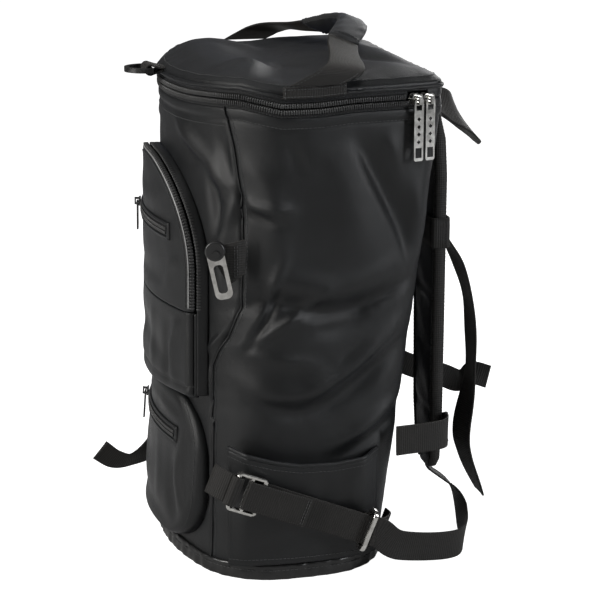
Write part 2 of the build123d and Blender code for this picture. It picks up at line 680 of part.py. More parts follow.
def ladder_lock():
    """A flat three-bar lock. The rear bar is held by the tab, and the strap runs over the middle bar."""
    frame = Box(LOCK_LENGTH, LOCK_WIDTH, LOCK_THICK)
    frame = fillet(frame.edges().filter_by(Axis.Z), 4.0)
    slot = (LOCK_LENGTH - 3 * LOCK_BAR) / 2
    for sign in (1, -1):
        frame -= Pos(sign * (LOCK_BAR + slot) / 2, 0, 0) * Box(slot, STRAP + 2.0, LOCK_THICK * 2)
    frame = chamfer(frame.edges().group_by(Axis.Z)[-1], 0.8)
    return strap_plane(0) * frame


def along_side(distance, out=0.0):
    return strap_plane(distance, out).origin


def side_strap_set():
    half = LOCK_LENGTH / 2
    bar = half - LOCK_BAR / 2
    lock = ladder_lock()
    save("ladder_lock_right", lock)
    save("ladder_lock_left", mirrored(lock))
    across = (0, -RUN.Z, RUN.Y)
    place = strap_plane(-bar)
    hole = place * Rot(90, 0, 0) * Cylinder(3.5, STRAP + 8.0)
    loop = place * Rot(90, 0, 0) * Cylinder(3.5 + WEBBING, STRAP) - hole
    seat = along_side(-bar - 17.0, 2.0 - STRAP_STAND)
    leg = strip([along_side(-bar - 4.7, -0.8), along_side(-bar - 9.0, -5.0), seat], across, STRAP, WEBBING)
    leg -= place * Rot(90, 0, 0) * Cylinder(3.5 + WEBBING, STRAP + 8.0)
    tab = max((leg - body_block(0.05)).solids(), key=lambda s: s.volume)
    ring_spot = strap_plane(RING_DISTANCE)
    right = [*loop.solids(), tab, *guide_tab(ring_spot)]
    save("strap_tabs", *right, *[mirrored(s) for s in right])
    ring = guide_ring(ring_spot)
    save("guide_ring_right", ring)
    save("guide_ring_left", mirrored(ring))
    under = LOCK_THICK / 2 + WEBBING / 2 + 0.4
    path = [along_side(d, -under) for d in (2.0, 14.0, 20.0)] + [along_side(40.0, -1.6)]
    path += [along_side(RING_DISTANCE - 12.0), along_side(RING_DISTANCE + 2.2)]
    strap = strip(smooth(path, 2), across, STRAP, WEBBING)
    save("side_strap_right", strap)
    save("side_strap_left", mirrored(strap))
    path = [along_side(d, under) for d in (-2.0, 16.0, 24.0)] + [along_side(54.0, under - 0.4)]
    save("strap_tail_right", strip(smooth(path, 2), across, STRAP - 1.0, WEBBING))
    left_tail()


def left_tail():
    """The left lock's free end is turned forwards and hangs clear of the bag's front corner."""
    x = -side_x(LOCK_AT[0], LOCK_AT[1], STRAP_STAND + 8.0)
    points = [(x, -36.0, 84.0), (x - 2, -46.0, 76.0), (x - 1, -58.0, 50.0), (x + 6, -74.0, 24.0)]
    points += [(x + 10, -96.0, 13.0), (x + 14, -112.0, 16.0), (x + 16, -126.0, 27.0)]
    ways = [(0, -0.5, 0.8), (0, -0.6, 0.75), (0.1, -0.8, 0.5), (0.3, -0.5, 0.8)]
    ways += [(0.6, 0.1, 0.75), (0.3, 0.3, 0.9), (0, 0.45, 0.9)]
    ways = [tuple(w) for w in smooth(ways, 2)]
    save("strap_tail_left", strip(smooth(points, 2), ways, STRAP - 4.0, WEBBING))


def guide_ring(spot):
    """An oblong ring that stands across the strap."""
    inside_w, inside_t, wire = STRAP + 3.0, RING_INSIDE, RING_BAR
    face = RectangleRounded(inside_t + 2 * wire, inside_w + 2 * wire, 5.5)
    face -= RectangleRounded(inside_t, inside_w, 3.0)
    ring = extrude(face, wire / 2, both=True)
    ring = fillet(ring.edges().group_by(Axis.Z)[-1] + ring.edges().group_by(Axis.Z)[0], 1.2)
    return spot * Rot(0, 90, 0) * ring


def guide_tab(spot):
    """Webbing from the back seam round the ring's inner bar."""
    gap = 3.3
    loop = Rot(90, 0, 0) * Cylinder(gap + WEBBING, STRAP - 3.0) - Rot(90, 0, 0) * Cylinder(gap, STRAP)
    bar = spot.origin + spot.z_dir * RING_INNER
    start = bar + spot.x_dir * (gap + WEBBING)
    path = [start, start + Vector(-1.5, 9, -3)]
    path += [Vector(122.0, 85.0, bar.Z - 8.0), Vector(103.0, 84.5, bar.Z - 9.0)]
    leg = strip(smooth(path, 2), (0, -RUN.Z, RUN.Y), STRAP - 3.0, WEBBING)
    leg -= spot * Pos(0, 0, RING_INNER) * Rot(90, 0, 0) * Cylinder(gap + WEBBING, STRAP + 20)
    leg -= body_block(0.05)
    return [spot * Pos(0, 0, RING_INNER) * loop, max(leg.solids(), key=lambda s: s.volume)]


# ---- shoulder straps --------------------------------------------------------------------------------------
SWING_TOP = Vector(PAD_X, BACK_WALL_RIM + 10.0, 379.0)


def shoulder_anchors():
    """A gathered tab on each side, narrow where the strap is sewn to it, so that the strap can swing."""
    z = SWING_TOP.Z
    wall = back_wall(z)
    tip = SWING_TOP.Y - 3.3
    spots = [(PAD_X - 12, wall - 3), (PAD_X - 12, tip - 7.5), (PAD_X - 1.5, tip), (PAD_X + 1.5, tip)]
    spots += [(PAD_X + 12, tip - 7.5), (PAD_X + 12, wall - 3)]
    face = make_face(Polyline(*[(x, y, z - 7) for x, y in spots], close=True))
    block = extrude(face, 12, dir=(0, 0, 1)) - body_block(0.0)
    save("shoulder_anchors", block, mirrored(block))


PAD_TOP_Y = SWING_TOP.Y
RIGHT_PAD = [(PAD_TOP_Y, 384.0), (PAD_TOP_Y, 374.0), (135.0, 354.0)]
RIGHT_PAD += [(134.0, 326.0), (134.0, 200.0), (134.5, 120.0)]
RIGHT_PAD += [(135.0, 78.0), (135.0, 66.0)]
LEFT_PAD = [(PAD_TOP_Y, 384.0), (PAD_TOP_Y, 374.0), (134.0, 354.0)]
LEFT_PAD += [(128.5, 320.0), (118.0, 200.0), (111.0, 120.0)]
LEFT_PAD += [(107.3, 78.0), (106.3, 66.0)]
PAD_WIDTHS = [PAD_NECK - 2, PAD_NECK - 2, PAD_NECK + 14, PAD_WIDTH]
PAD_WIDTHS += [PAD_WIDTH, PAD_WIDTH - 4, PAD_NECK + 18, PAD_NECK]
PAD_THICKS = [4.0, 4.6, PAD_THICK, PAD_THICK, PAD_THICK, PAD_THICK, PAD_THICK - 1, PAD_THICK - 4]


def pad(line):
    bevels = [(PAD_X, y, z) for y, z in line]
    return strip(bevels, (1, 0, 0), PAD_WIDTHS, PAD_THICKS, 1.9)


def shoulder_pads():
    save("shoulder_pad_right", pad(RIGHT_PAD))
    save("shoulder_pad_left", mirrored(pad(LEFT_PAD)))


def lower_strap(foot_y, bulge_y):
    start, after = along_side(RING_DISTANCE + 5.8), along_side(RING_DISTANCE + 12.0)
    points = [start, after, (after.X - 4, after.Y + 20, 25.0), (after.X - 20, bulge_y - 12, 17.0)]
    points += [(PAD_X + 24, bulge_y + 2, 26.0), (PAD_X + 6, bulge_y - 2, 46.0), (PAD_X, foot_y, 63.5)]
    across = (0, -RUN.Z, RUN.Y)
    ways = [across, across, (0, 0.1, 1), (0.15, 0, 1), (0.7, 0.1, 0.7), (1, 0, 0.1), (1, 0, 0)]
    return strip(smooth(points, 3), [tuple(w) for w in smooth(ways, 3)], STRAP, WEBBING)


SWING_FOOT = along_side(RING_DISTANCE + 8.0)


def stay_strap(pad_y):
    """A short webbing that comes round from beside the back seam and is sewn across the pad's foot."""
    z = 113.0
    share = (SWING_TOP.Z - z) / (SWING_TOP.Z - SWING_FOOT.Z)
    axis = SWING_TOP + (SWING_FOOT - SWING_TOP) * share
    front = pad_y + PAD_THICK / 2 + 1.6
    points = [(axis.X + 2, axis.Y + 6, z), (axis.X - 6, pad_y - 4, z), (PAD_X + 31, front, z - 3)]
    points += [(PAD_X + 20, front + 0.4, z - 8), (PAD_X + 4, front + 0.2, z - 14)]
    ways = [(0, 0, 1), (0, 0, 1), (0, 0.05, 1), (0.1, 0, 1), (0.2, 0, 1)]
    return strip(smooth(points, 3), [tuple(w) for w in smooth(ways, 3)], STRAP, WEBBING)


def shoulder_webbing():
    save("lower_strap_right", lower_strap(135.2, 158.0))
    save("lower_strap_left", mirrored(lower_strap(106.4, 132.0)))
    save("stay_strap_right", stay_strap(134.5))
    save("stay_strap_left", mirrored(stay_strap(110.7)))


def keeper(centre, lean):
    """A webbing loop round a pad, which slides along it."""
    play = 0.8
    outer = Box(PAD_WIDTH + 2 * (play + WEBBING), PAD_THICK + 2 * (play + WEBBING), STRAP)
    inner = Box(PAD_WIDTH + 2 * play, PAD_THICK + 2 * play, STRAP * 2)
    return Pos(*centre) * Rot(lean, 0, 0) * (outer - inner)


def sternum_straps():
    """Half a sternum strap on each pad. Each hangs open, with its free end down or out."""
    out = PAD_THICK / 2 + 0.8 + WEBBING * 1.5 + 0.1
    loop = keeper((PAD_X, 134.0, 278.0), 0)
    points = [(PAD_X + 6, 134.0 + out, 289.0), (PAD_X + 6, 134.0 + out, 274.0), (PAD_X + 5, 158.0, 244.0)]
    points += [(PAD_X + 4, 169.0, 205.0), (PAD_X + 2, 172.0, 150.0), (PAD_X, 166.0, 98.0)]
    points += [(PAD_X - 1, 170.0, 72.0), (PAD_X - 2, 184.0, 36.0)]
    ways = [(1, 0, 0), (1, 0, 0), (1, 0.15, 0), (1, 0.1, 0)]
    ways += [(1, 0.1, 0), (0.9, 0.4, 0), (0.9, 0.3, 0), (1, 0, 0)]
    tail = strip(smooth(points, 2), [tuple(w) for w in smooth(ways, 2)], STRAP - 3, WEBBING)
    save("sternum_strap_right", loop, tail)
    z = 138.0
    y = 111.0 + 7.0 * (z - 120.0) / 80.0
    lean = degrees(atan2(7.0, 80.0))
    loop = keeper((PAD_X, y, z), -lean)
    points = [(PAD_X + 8, y + out, z), (PAD_X - 8, y + out + 0.6, z - 2), (PAD_X - 20, y + 33, z - 14)]
    points += [(PAD_X - 28, 178.0, z - 25), (PAD_X - 36, 192.0, z - 29)]
    points += [(PAD_X - 42, 203.0, z - 21), (PAD_X - 47, 217.0, z - 24)]
    ways = [(0, 0, 1), (0, 0, 1), (0, 0.2, 1), (0.3, 0.3, 1)]
    ways += [(0.3, 0.5, 0.8), (0.3, 0.2, 0.8), (0.2, 0.1, 1)]
    tail = strip(smooth(points, 2), [tuple(w) for w in smooth(ways, 2)], STRAP - 4, WEBBING)
    save("sternum_strap_left", mirrored(loop), mirrored(tail))


def haul_loop():
    """A wide webbing loop whose ends are sewn flat into the top of the back."""
    z = 379.0
    y = back_wall(z)
    points = [(30, y + 1.8, z), (30.5, y + 9, z + 0.5), (29, y + 24, z - 2), (24, y + 40, z - 11)]
    points += [(13, y + 54, z - 25), (0, y + 59, z - 31)]
    ways = [(-1, 0, 0), (-0.95, 0, 0.2), (-0.75, -0.2, 0.6)]
    ways += [(-0.3, -0.45, 0.8), (-0.05, -0.6, 0.8), (0, -0.62, 0.8)]
    half, tilt = smooth(points, 3), [tuple(w) for w in smooth(ways, 3)]
    path = half + [Vector(-p.X, p.Y, p.Z) for p in reversed(half[:-1])]
    tilt += [(-w[0], w[1], w[2]) for w in reversed(tilt[:-1])]
    widths = [26.0 + (HAUL_WEB - 26.0) * min(1.0, i / 9) for i in range(len(half))]
    save("haul_loop", strip(path, tilt, widths + widths[-2::-1], WEBBING))


# ---- gear clip on the right front seam ------------------------------------------------------------
CLIP_Y = -58.0
CLIP_Z = 281.0


def gear_clip():
    out = 4.0
    o = outline_at(CLIP_Z)
    front = side_x(CLIP_Y, CLIP_Z, 0)
    angle = atan2(CLIP_Y - o.side[1], front - o.side[0])
    out_dir = (cos(angle), sin(angle), 0)
    place = Plane(origin=(front, CLIP_Y, CLIP_Z), x_dir=(-sin(angle), cos(angle), 0), z_dir=out_dir)
    tab = make_face(Polyline((-5, 4), (CLIP_SEAM, 9), (CLIP_SEAM, -18), (9, -27), (-2, -7), close=True))
    sheet = Pos(0, 0, out) * extrude(tab, WEBBING)
    foot = Pos(CLIP_SEAM - 1.0, -4.5, out / 2) * Box(2.0, 27.0, out)
    tab = place * (sheet + foot) - body_block(0.0)
    save("clip_tab", max(tab.solids(), key=lambda s: s.volume))
    rivet = Pos(0, 0, out + WEBBING) * Cylinder(1.6, 8.0, align=(Align.CENTER, Align.CENTER, Align.MIN))
    button = Cylinder(2.8, 1.2, align=(Align.CENTER, Align.CENTER, Align.MIN))
    rivet += Pos(0, 0, out + WEBBING + 7.6) * button
    save("clip_rivet", place * rivet)
    base_out = out + WEBBING + 0.3
    head = Pos(-1, 2, base_out) * Cylinder(8.0, 7.0, align=(Align.CENTER, Align.CENTER, Align.MIN))
    head -= Cylinder(1.75, 60.0)
    rims = head.edges().filter_by(GeomType.CIRCLE).group_by(SortBy.RADIUS)[-1]
    save("clip_head", place * fillet(rims, 1.6))
    hook = RectangleRounded(14.0, 40.0, 5.0) - Pos(0, -3.5) * RectangleRounded(7.6, 23.0, 3.0)
    hook = extrude(Rot(0, 0, 12) * Pos(-1, -17.0) * hook, 3.6)
    hook = Pos(0, 0, base_out + 1.6) * hook - Pos(-1, 2, 0) * Cylinder(8.0, 60.0)
    save("clip_hook", place * max(hook.solids(), key=lambda s: s.volume))


CLIP_SEAM = SEAM_FRONT_Y - CLIP_Y + 6.0


def main():
    body_panels()
    base()
    back_foam()
    rim_zipper()
    rim_sliders()
    lid()
    handle()
    front_dring()
    upper_pocket()
    small_zip(FACE_ZIP_Z, upper_face, "face_zip")
    small_slider(FACE_ZIP_Z, upper_out, "face_zip")
    pocket_slider()
    lower_pocket()
    small_zip(LOWER_ZIP_Z, lower_face, "lower_zip")
    small_slider(LOWER_ZIP_Z, lower_out, "lower_zip")
    side_pockets()
    side_strap_set()
    shoulder_anchors()
    shoulder_pads()
    shoulder_webbing()
    sternum_straps()
    haul_loop()
    gear_clip()


main()
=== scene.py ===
"""The looks of a soft rope storage bag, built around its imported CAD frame.

Shapes are worked out in millimetres, in the frame's own axes, and written to Blender in metres: the front with
its two pockets faces -Y, the back with the shoulder straps faces +Y, and the wearer's right is +X.
"""
import json
from math import atan2, cos, degrees, pi, radians, sin, sqrt

import bpy
import numpy as np
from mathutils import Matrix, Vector


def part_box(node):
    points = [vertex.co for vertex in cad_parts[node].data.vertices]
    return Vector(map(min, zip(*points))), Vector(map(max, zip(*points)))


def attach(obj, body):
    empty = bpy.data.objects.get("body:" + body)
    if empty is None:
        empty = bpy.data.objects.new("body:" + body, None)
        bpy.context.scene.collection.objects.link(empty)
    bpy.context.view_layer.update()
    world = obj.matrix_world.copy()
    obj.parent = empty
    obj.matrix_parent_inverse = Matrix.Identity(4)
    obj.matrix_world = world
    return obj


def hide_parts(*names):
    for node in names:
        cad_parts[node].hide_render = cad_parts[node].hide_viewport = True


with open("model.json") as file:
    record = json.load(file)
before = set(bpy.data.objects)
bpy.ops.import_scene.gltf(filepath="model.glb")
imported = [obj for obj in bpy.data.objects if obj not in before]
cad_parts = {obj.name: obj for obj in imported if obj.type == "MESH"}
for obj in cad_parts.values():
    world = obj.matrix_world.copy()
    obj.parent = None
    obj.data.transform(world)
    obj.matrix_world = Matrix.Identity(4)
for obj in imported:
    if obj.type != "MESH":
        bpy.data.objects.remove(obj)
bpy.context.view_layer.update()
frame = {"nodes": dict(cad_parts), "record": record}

MM = 0.001
scene = bpy.context.scene

# ---- sizes that the CAD model fixes, in millimetres ----------------------------------------------
RIM = dict(width=280.0, depth=206.0, shift=23.0, back=14.0, front=75.0)
BASE = dict(width=262.0, depth=172.0, shift=0.0, back=58.0, front=65.0)
SIDE_RADIUS = 300.0
FRONT_RADIUS = 220.0
BODY_TOP = 386.0
ZIP_Z = 395.0
LID_LOW = 404.0
LID_TOP = 421.0
SEAM_FRONT_Y = -42.0         # the CAD seam, where the clip's tab is sewn
# the seam as it is sewn: heights, and its y at each
SEAM_LINE = ((0, 30, 90, 135, 165, 192, 212, 232, 280, 321, 360, 393),
             (-60, -64, -67, -68, -63, -55, -46, -39, -37, -38, -43, -49))
SEAM_BACK_X = 100.0
ZIP_END_X = 126.0 + 8.0
BODY_CLOTH, LID_CLOTH, POCKET_CLOTH = 2.2, 2.4, 1.8
WEBBING = 1.8
STRAP = 25.0
PAD_X = 65.0


# ---- camera, light and floor ---------------------------------------------------------------------
def look_from(obj, place, target):
    obj.location = place
    obj.rotation_euler = (Vector(target) - Vector(place)).to_track_quat("-Z", "Y").to_euler()


def make_camera():
    data = bpy.data.cameras.new("camera")
    data.lens = 110.4
    data.sensor_width = 36.0
    data.clip_end = 50.0
    camera = bpy.data.objects.new("camera", data)
    scene.collection.objects.link(camera)
    look_from(camera, (1.5081, -0.3005, 0.6176), (0.00024, 0.0368, 0.2018))
    scene.camera = camera


def area_light(name, place, target, size, power, tint=(1, 1, 1)):
    data = bpy.data.lights.new(name, "AREA")
    data.shape = "RECTANGLE"
    data.size, data.size_y = size
    data.energy = power
    data.color = tint
    obj = bpy.data.objects.new(name, data)
    scene.collection.objects.link(obj)
    look_from(obj, place, target)


def camera_sees(tree, socket, others, camera):
    """Gives a shader's strength one value for the camera's own view and another for all other light."""
    seen = tree.nodes.new("ShaderNodeLightPath")
    level = tree.nodes.new("ShaderNodeMapRange")
    level.inputs["To Min"].default_value = others
    level.inputs["To Max"].default_value = camera
    tree.links.new(seen.outputs["Is Camera Ray"], level.inputs["Value"])
    tree.links.new(level.outputs["Result"], socket)


def make_studio():
    area_light("key", (0.55, -1.60, 1.05), (0.0, 0.0, 0.22), (0.4, 1.1), 32, (1.0, 0.985, 0.96))
    area_light("fill", (1.25, 1.55, 0.95), (0.0, 0.0, 0.2), (0.4, 1.1), 26, (0.95, 0.97, 1.0))
    area_light("top", (-0.3, -0.2, 1.7), (0.0, 0.0, 0.2), (1.7, 1.7), 6)
    area_light("behind", (-1.3, 1.0, 0.7), (0.0, 0.0, 0.2), (0.6, 1.2), 8)
    world = bpy.data.worlds.new("studio")
    world.use_nodes = True
    surround = world.node_tree.nodes["Background"]
    surround.inputs["Color"].default_value = (1.0, 1.0, 1.0, 1)
    camera_sees(world.node_tree, surround.inputs["Strength"], 0.09, 1.0)
    scene.world = world
    scene.view_settings.view_transform = "Standard"
    size = 12.0
    mesh = bpy.data.meshes.new("floor")
    mesh.from_pydata([(-size, -size, 0), (size, -size, 0), (size, size, 0), (-size, size, 0)], [], [(0, 1, 2, 3)])
    floor = bpy.data.objects.new("floor", mesh)
    scene.collection.objects.link(floor)
    floor.location.z = -0.0006
    material = bpy.data.materials.new("floor")
    material.use_nodes = True
    shader = material.node_tree.nodes["Principled BSDF"]
    shader.inputs["Base Color"].default_value = (0.62, 0.62, 0.62, 1)
    shader.inputs["Roughness"].default_value = 0.9
    shader.inputs["Emission Color"].default_value = (1, 1, 1, 1)
    camera_sees(material.node_tree, shader.inputs["Emission Strength"], 0.0, 1.0)
    mesh.materials.append(material)


make_camera()


# ---- materials -----------------------------------------------------------------------------------
class Nodes:
    """A short way to write a node material."""

    def __init__(self, name):
        self.material = bpy.data.materials.new(name)
        self.material.use_nodes = True
        self.tree = self.material.node_tree
        self.shader = self.tree.nodes["Principled BSDF"]

    def add(self, kind, inputs=(), **settings):
        node = self.tree.nodes.new(kind)
        for key, value in settings.items():
            setattr(node, key, value)
        for key, value in dict(inputs).items():
            if isinstance(value, bpy.types.NodeSocket):
                self.tree.links.new(value, node.inputs[key])
            else:
                node.inputs[key].default_value = value
        return node

    def wire(self, source, socket):
        self.tree.links.new(source, self.shader.inputs[socket])

    def set(self, **values):
        for key, value in values.items():
            self.shader.inputs[key.replace("_", " ")].default_value = value

    def ramp(self, fac, stops):
        node = self.add("ShaderNodeValToRGB", {"Fac": fac})
        while len(node.color_ramp.elements) < len(stops):
            node.color_ramp.elements.new(0.5)
        for element, (at, colour) in zip(node.color_ramp.elements, stops):
            element.position = at
            element.color = (*colour, 1)
        return node.outputs["Color"]

    def math(self, operation, a, b=0.5):
        return self.add("ShaderNodeMath", {0: a, 1: b}, operation=operation).outputs[0]

    def weave(self):
        return self.add("ShaderNodeAttribute", attribute_name="weave").outputs["Vector"]

    def threads(self, along, period, profile="SIN"):
        """Bands across one direction of the weave, period millimetres apart."""
        direction = "X" if along else "Y"
        node = self.add("ShaderNodeTexWave", {"Vector": self.weave(), "Scale": 0.31416 / period, "Distortion": 0.0},
                        wave_type="BANDS", bands_direction=direction, wave_profile=profile)
        return node.outputs["Fac"]

    def noise(self, scale, detail=3.0, vector=None):
        """Noise in the object's own space, in metres."""
        where = vector or self.add("ShaderNodeTexCoord").outputs["Object"]
        return self.add("ShaderNodeTexNoise", {"Vector": where, "Scale": scale, "Detail": detail}).outputs["Fac"]

    def bump(self, height, strength, distance):
        node = self.add("ShaderNodeBump", {"Height": height, "Strength": strength, "Distance": distance})
        self.wire(node.outputs["Normal"], "Normal")


def cloth_material(name, dark, light, rough, sheen, period, relief, tint=(0.62, 0.70, 1.0)):
    """Plain woven cloth: fine warp and weft, slow changes in tone, a soft sheen."""
    n = Nodes(name)
    warp, weft = n.threads(True, period), n.threads(False, period)
    grid = n.math("MULTIPLY", warp, weft)
    slow = n.noise(26.0, 4.0)
    fine = n.noise(900.0, 2.0)
    tone = n.math("ADD", n.math("MULTIPLY", slow, 0.75), n.math("MULTIPLY", grid, 0.25))
    n.wire(n.ramp(tone, [(0.30, dark), (0.72, light)]), "Base Color")
    gloss = n.add("ShaderNodeMapRange", {"Value": slow, "From Min": 0.3, "From Max": 0.7, "To Min": rough - 0.05,
                                         "To Max": rough + 0.07})
    n.wire(gloss.outputs["Result"], "Roughness")
    n.bump(n.math("ADD", grid, n.math("MULTIPLY", fine, 0.5)), relief, 0.00025)
    n.set(Sheen_Weight=sheen, Sheen_Roughness=0.35, Sheen_Tint=(*tint, 1), Specular_IOR_Level=0.34)
    return n.material


def webbing_material(name, dark, light, rib):
    """Flat webbing: raised ribs across it, with finer threads along it."""
    n = Nodes(name)
    ribs, runs = n.threads(True, rib), n.threads(False, rib * 0.62)
    mixed = n.math("ADD", n.math("MULTIPLY", ribs, 0.62), n.math("MULTIPLY", runs, 0.38))
    slow = n.noise(60.0, 3.0)
    tone = n.math("ADD", n.math("MULTIPLY", mixed, 0.55), n.math("MULTIPLY", slow, 0.45))
    n.wire(n.ramp(tone, [(0.25, dark), (0.75, light)]), "Base Color")
    gloss = n.add("ShaderNodeMapRange", {"Value": mixed, "To Min": 0.72, "To Max": 0.52})
    n.wire(gloss.outputs["Result"], "Roughness")
    n.bump(n.math("ADD", mixed, n.math("MULTIPLY", n.noise(1500.0, 2.0), 0.35)), 0.55, 0.0005)
    n.set(Sheen_Weight=0.05, Sheen_Roughness=0.5, Sheen_Tint=(1.0, 0.95, 0.88, 1), Specular_IOR_Level=0.3)
    return n.material


def metal_material(name, dark, light, rough, metallic=1.0):
    """Plated or painted metal with light scuffs."""
    n = Nodes(name)
    scuff = n.noise(220.0, 6.0)
    streak = n.add("ShaderNodeTexNoise", {"Vector": n.add("ShaderNodeMapping", {
        "Vector": n.add("ShaderNodeTexCoord").outputs["Object"], "Scale": (900.0, 900.0, 90.0)}).outputs["Vector"],
        "Scale": 1.0, "Detail": 3.0}).outputs["Fac"]
    n.wire(n.ramp(scuff, [(0.35, dark), (0.65, light)]), "Base Color")
    gloss = n.add("ShaderNodeMapRange", {"Value": n.math("ADD", n.math("MULTIPLY", scuff, 0.5),
                  n.math("MULTIPLY", streak, 0.5)), "From Min": 0.3, "From Max": 0.7, "To Min": rough * 0.7,
                  "To Max": rough * 1.5})
    n.wire(gloss.outputs["Result"], "Roughness")
    n.bump(streak, 0.08, 0.0002)
    n.set(Metallic=metallic)
    return n.material


def plain_material(name, dark, light, rough, grain, relief, distance=0.0002):
    """Moulded plastic, coated cloth, board or foam: a fine grain and slow changes in tone."""
    n = Nodes(name)
    slow, fine = n.noise(45.0, 4.0), n.noise(grain, 3.0)
    n.wire(n.ramp(slow, [(0.3, dark), (0.7, light)]), "Base Color")
    gloss = n.add("ShaderNodeMapRange", {"Value": fine, "To Min": rough - 0.08, "To Max": rough + 0.1})
    n.wire(gloss.outputs["Result"], "Roughness")
    n.bump(fine, relief, distance)
    return n.material


def grey(v, blue=0.0):
    return v, v * (1 + blue * 0.5), v * (1 + blue)


MATERIALS = {
    "fabric_black": cloth_material("fabric_black", grey(0.0060, 0.10), grey(0.0105, 0.14), 0.40, 0.02, 0.55, 0.35),
    "webbing_black": webbing_material("webbing_black", (0.0060, 0.0056, 0.0052), (0.0150, 0.0140, 0.0128), 1.9),
    "fabric_grip": cloth_material("fabric_grip", grey(0.012, 0.04), grey(0.019, 0.05), 0.5, 0.05, 0.4, 0.25),
    "zipper_black": plain_material("zipper_black", grey(0.024), grey(0.042), 0.36, 1400.0, 0.3),
    "metal_silver": metal_material("metal_silver", (0.44, 0.43, 0.41), (0.66, 0.65, 0.62), 0.17),
    "metal_dark": metal_material("metal_dark", grey(0.05), grey(0.09), 0.34),
    "plastic_black": plain_material("plastic_black", grey(0.010), grey(0.016), 0.33, 2200.0, 0.2),
    "coated_rim": plain_material("coated_rim", grey(0.006), grey(0.011), 0.30, 1600.0, 0.25),
    "board": plain_material("board", grey(0.05), grey(0.075), 0.6, 700.0, 0.3),
    "foam": plain_material("foam", grey(0.022), grey(0.034), 0.8, 900.0, 0.7, 0.0004),
}
THREAD = plain_material("thread", grey(0.030, 0.05), grey(0.050, 0.05), 0.55, 1800.0, 0.4)
TAPE = cloth_material("zipper_tape", grey(0.007), grey(0.012), 0.6, 0.05, 0.9, 0.6)
REFLECTIVE = plain_material("reflective_piping", grey(0.20), grey(0.30), 0.35, 1500.0, 0.2)


# ---- building meshes -----------------------------------------------------------------------------
def unit(v):
    return v / np.maximum(np.linalg.norm(v, axis=-1, keepdims=True), 1e-9)


def step01(t):
    t = np.clip(t, 0, 1)
    return t * t * (3 - 2 * t)


class Build:
    """Collects the parts of one piece, in millimetres, and makes it."""

    def __init__(self):
        self.points, self.faces, self.weave, self.mats = [], [], [], []
        self.count = 0
        self.materials = []

    def add(self, points, faces, weave=None, material=None):
        points = np.asarray(points, float).reshape(-1, 3)
        if material is not None and material not in self.materials:
            self.materials.append(material)
        index = 0 if material is None else self.materials.index(material)
        self.points.append(points)
        self.weave.append(points * 1.0 if weave is None else np.asarray(weave, float).reshape(-1, 3))
        start = self.count
        self.faces.extend([tuple(start + i for i in f) for f in faces])
        self.mats.extend([index] * len(faces))
        self.count += len(points)
        return self

    def make(self, name, body, slot, nodes=(), smooth=True):
        points = np.concatenate(self.points)
        mesh = bpy.data.meshes.new(name)
        mesh.from_pydata((points * MM).tolist(), [], self.faces)
        for material in self.materials:
            mesh.materials.append(material)
        mesh.polygons.foreach_set("material_index", self.mats)
        mesh.polygons.foreach_set("use_smooth", [smooth] * len(self.faces))
        mesh.update()
        layer = mesh.attributes.new("weave", "FLOAT_VECTOR", "POINT")
        layer.data.foreach_set("vector", np.concatenate(self.weave).astype(np.float32).ravel())
        obj = bpy.data.objects.new(name, mesh)
        scene.collection.objects.link(obj)
        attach(obj, body)
        if nodes:
            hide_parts(*nodes)
        return obj


def started(slot):
    """A piece whose first material is that slot's."""
    b = Build()
    b.materials.append(MATERIALS[slot])
    return b


def normals(P, wrap=False):
    if wrap:
        du = np.roll(P, -1, 1) - np.roll(P, 1, 1)
    else:
        du = np.gradient(P, axis=1)
    dv = np.gradient(P, axis=0)
    return unit(np.cross(du, dv))


def sheet_shell(b, P, thick, wrap=False, weave=None, material=None, inner=None):
    """A closed sheet whose outside is P, rows by columns, with its columns anticlockwise seen from outside."""
    rows, cols = P.shape[:2]
    N = normals(P, wrap)
    t = np.asarray(thick, float)
    Q = inner if inner is not None else P - N * (t[..., None] if t.ndim else t)
    size = rows * cols
    faces = []
    span = cols if wrap else cols - 1
    for i in range(rows - 1):
        for j in range(span):
            k = (j + 1) % cols
            a, c, d, e = i * cols + j, i * cols + k, (i + 1) * cols + k, (i + 1) * cols + j
            faces.append((a, c, d, e))
            faces.append((size + e, size + d, size + c, size + a))
    for j in range(span):
        k = (j + 1) % cols
        faces.append((j, size + j, size + k, k))
        top = (rows - 1) * cols
        faces.append((top + k, size + top + k, size + top + j, top + j))
    if not wrap:
        for i in range(rows - 1):
            a, e = i * cols, (i + 1) * cols
            faces.append((a, e, size + e, size + a))
            a, e = a + cols - 1, e + cols - 1
            faces.append((e, a, size + a, size + e))
    if weave is None:
        lengths = np.zeros((rows, cols))
        lengths[:, 1:] = np.cumsum(np.linalg.norm(np.diff(P, axis=1), axis=2), axis=1)
        heights = np.zeros((rows, cols))
        heights[1:] = np.cumsum(np.linalg.norm(np.diff(P, axis=0), axis=2), axis=0)
        weave = np.stack([lengths - lengths[:, cols // 2][:, None], heights, np.zeros((rows, cols))], 2)
    w = weave.reshape(-1, 3)
    return b.add(np.concatenate([P.reshape(-1, 3), Q.reshape(-1, 3)]), faces, np.concatenate([w, w]), material)


def smooth(points, steps):
    """Points on a curve through the given ones, steps for each span."""
    p = np.asarray(points, float)
    p = np.vstack([2 * p[0] - p[1], p, 2 * p[-1] - p[-2]])
    out = []
    for i in range(1, len(p) - 2):
        for t in np.arange(steps) / steps:
            a = 2 * p[i] + (p[i + 1] - p[i - 1]) * t
            c = (2 * p[i - 1] - 5 * p[i] + 4 * p[i + 1] - p[i + 2]) * t**2
            d = (3 * p[i] - p[i - 1] - 3 * p[i + 1] + p[i + 2]) * t**3
            out.append((a + c + d) / 2)
    return np.array([*out, p[-2]])


def along(P):
    """The length along a line at each of its points."""
    d = np.linalg.norm(np.diff(P, axis=0), axis=1)
    return np.concatenate([[0], np.cumsum(d)])


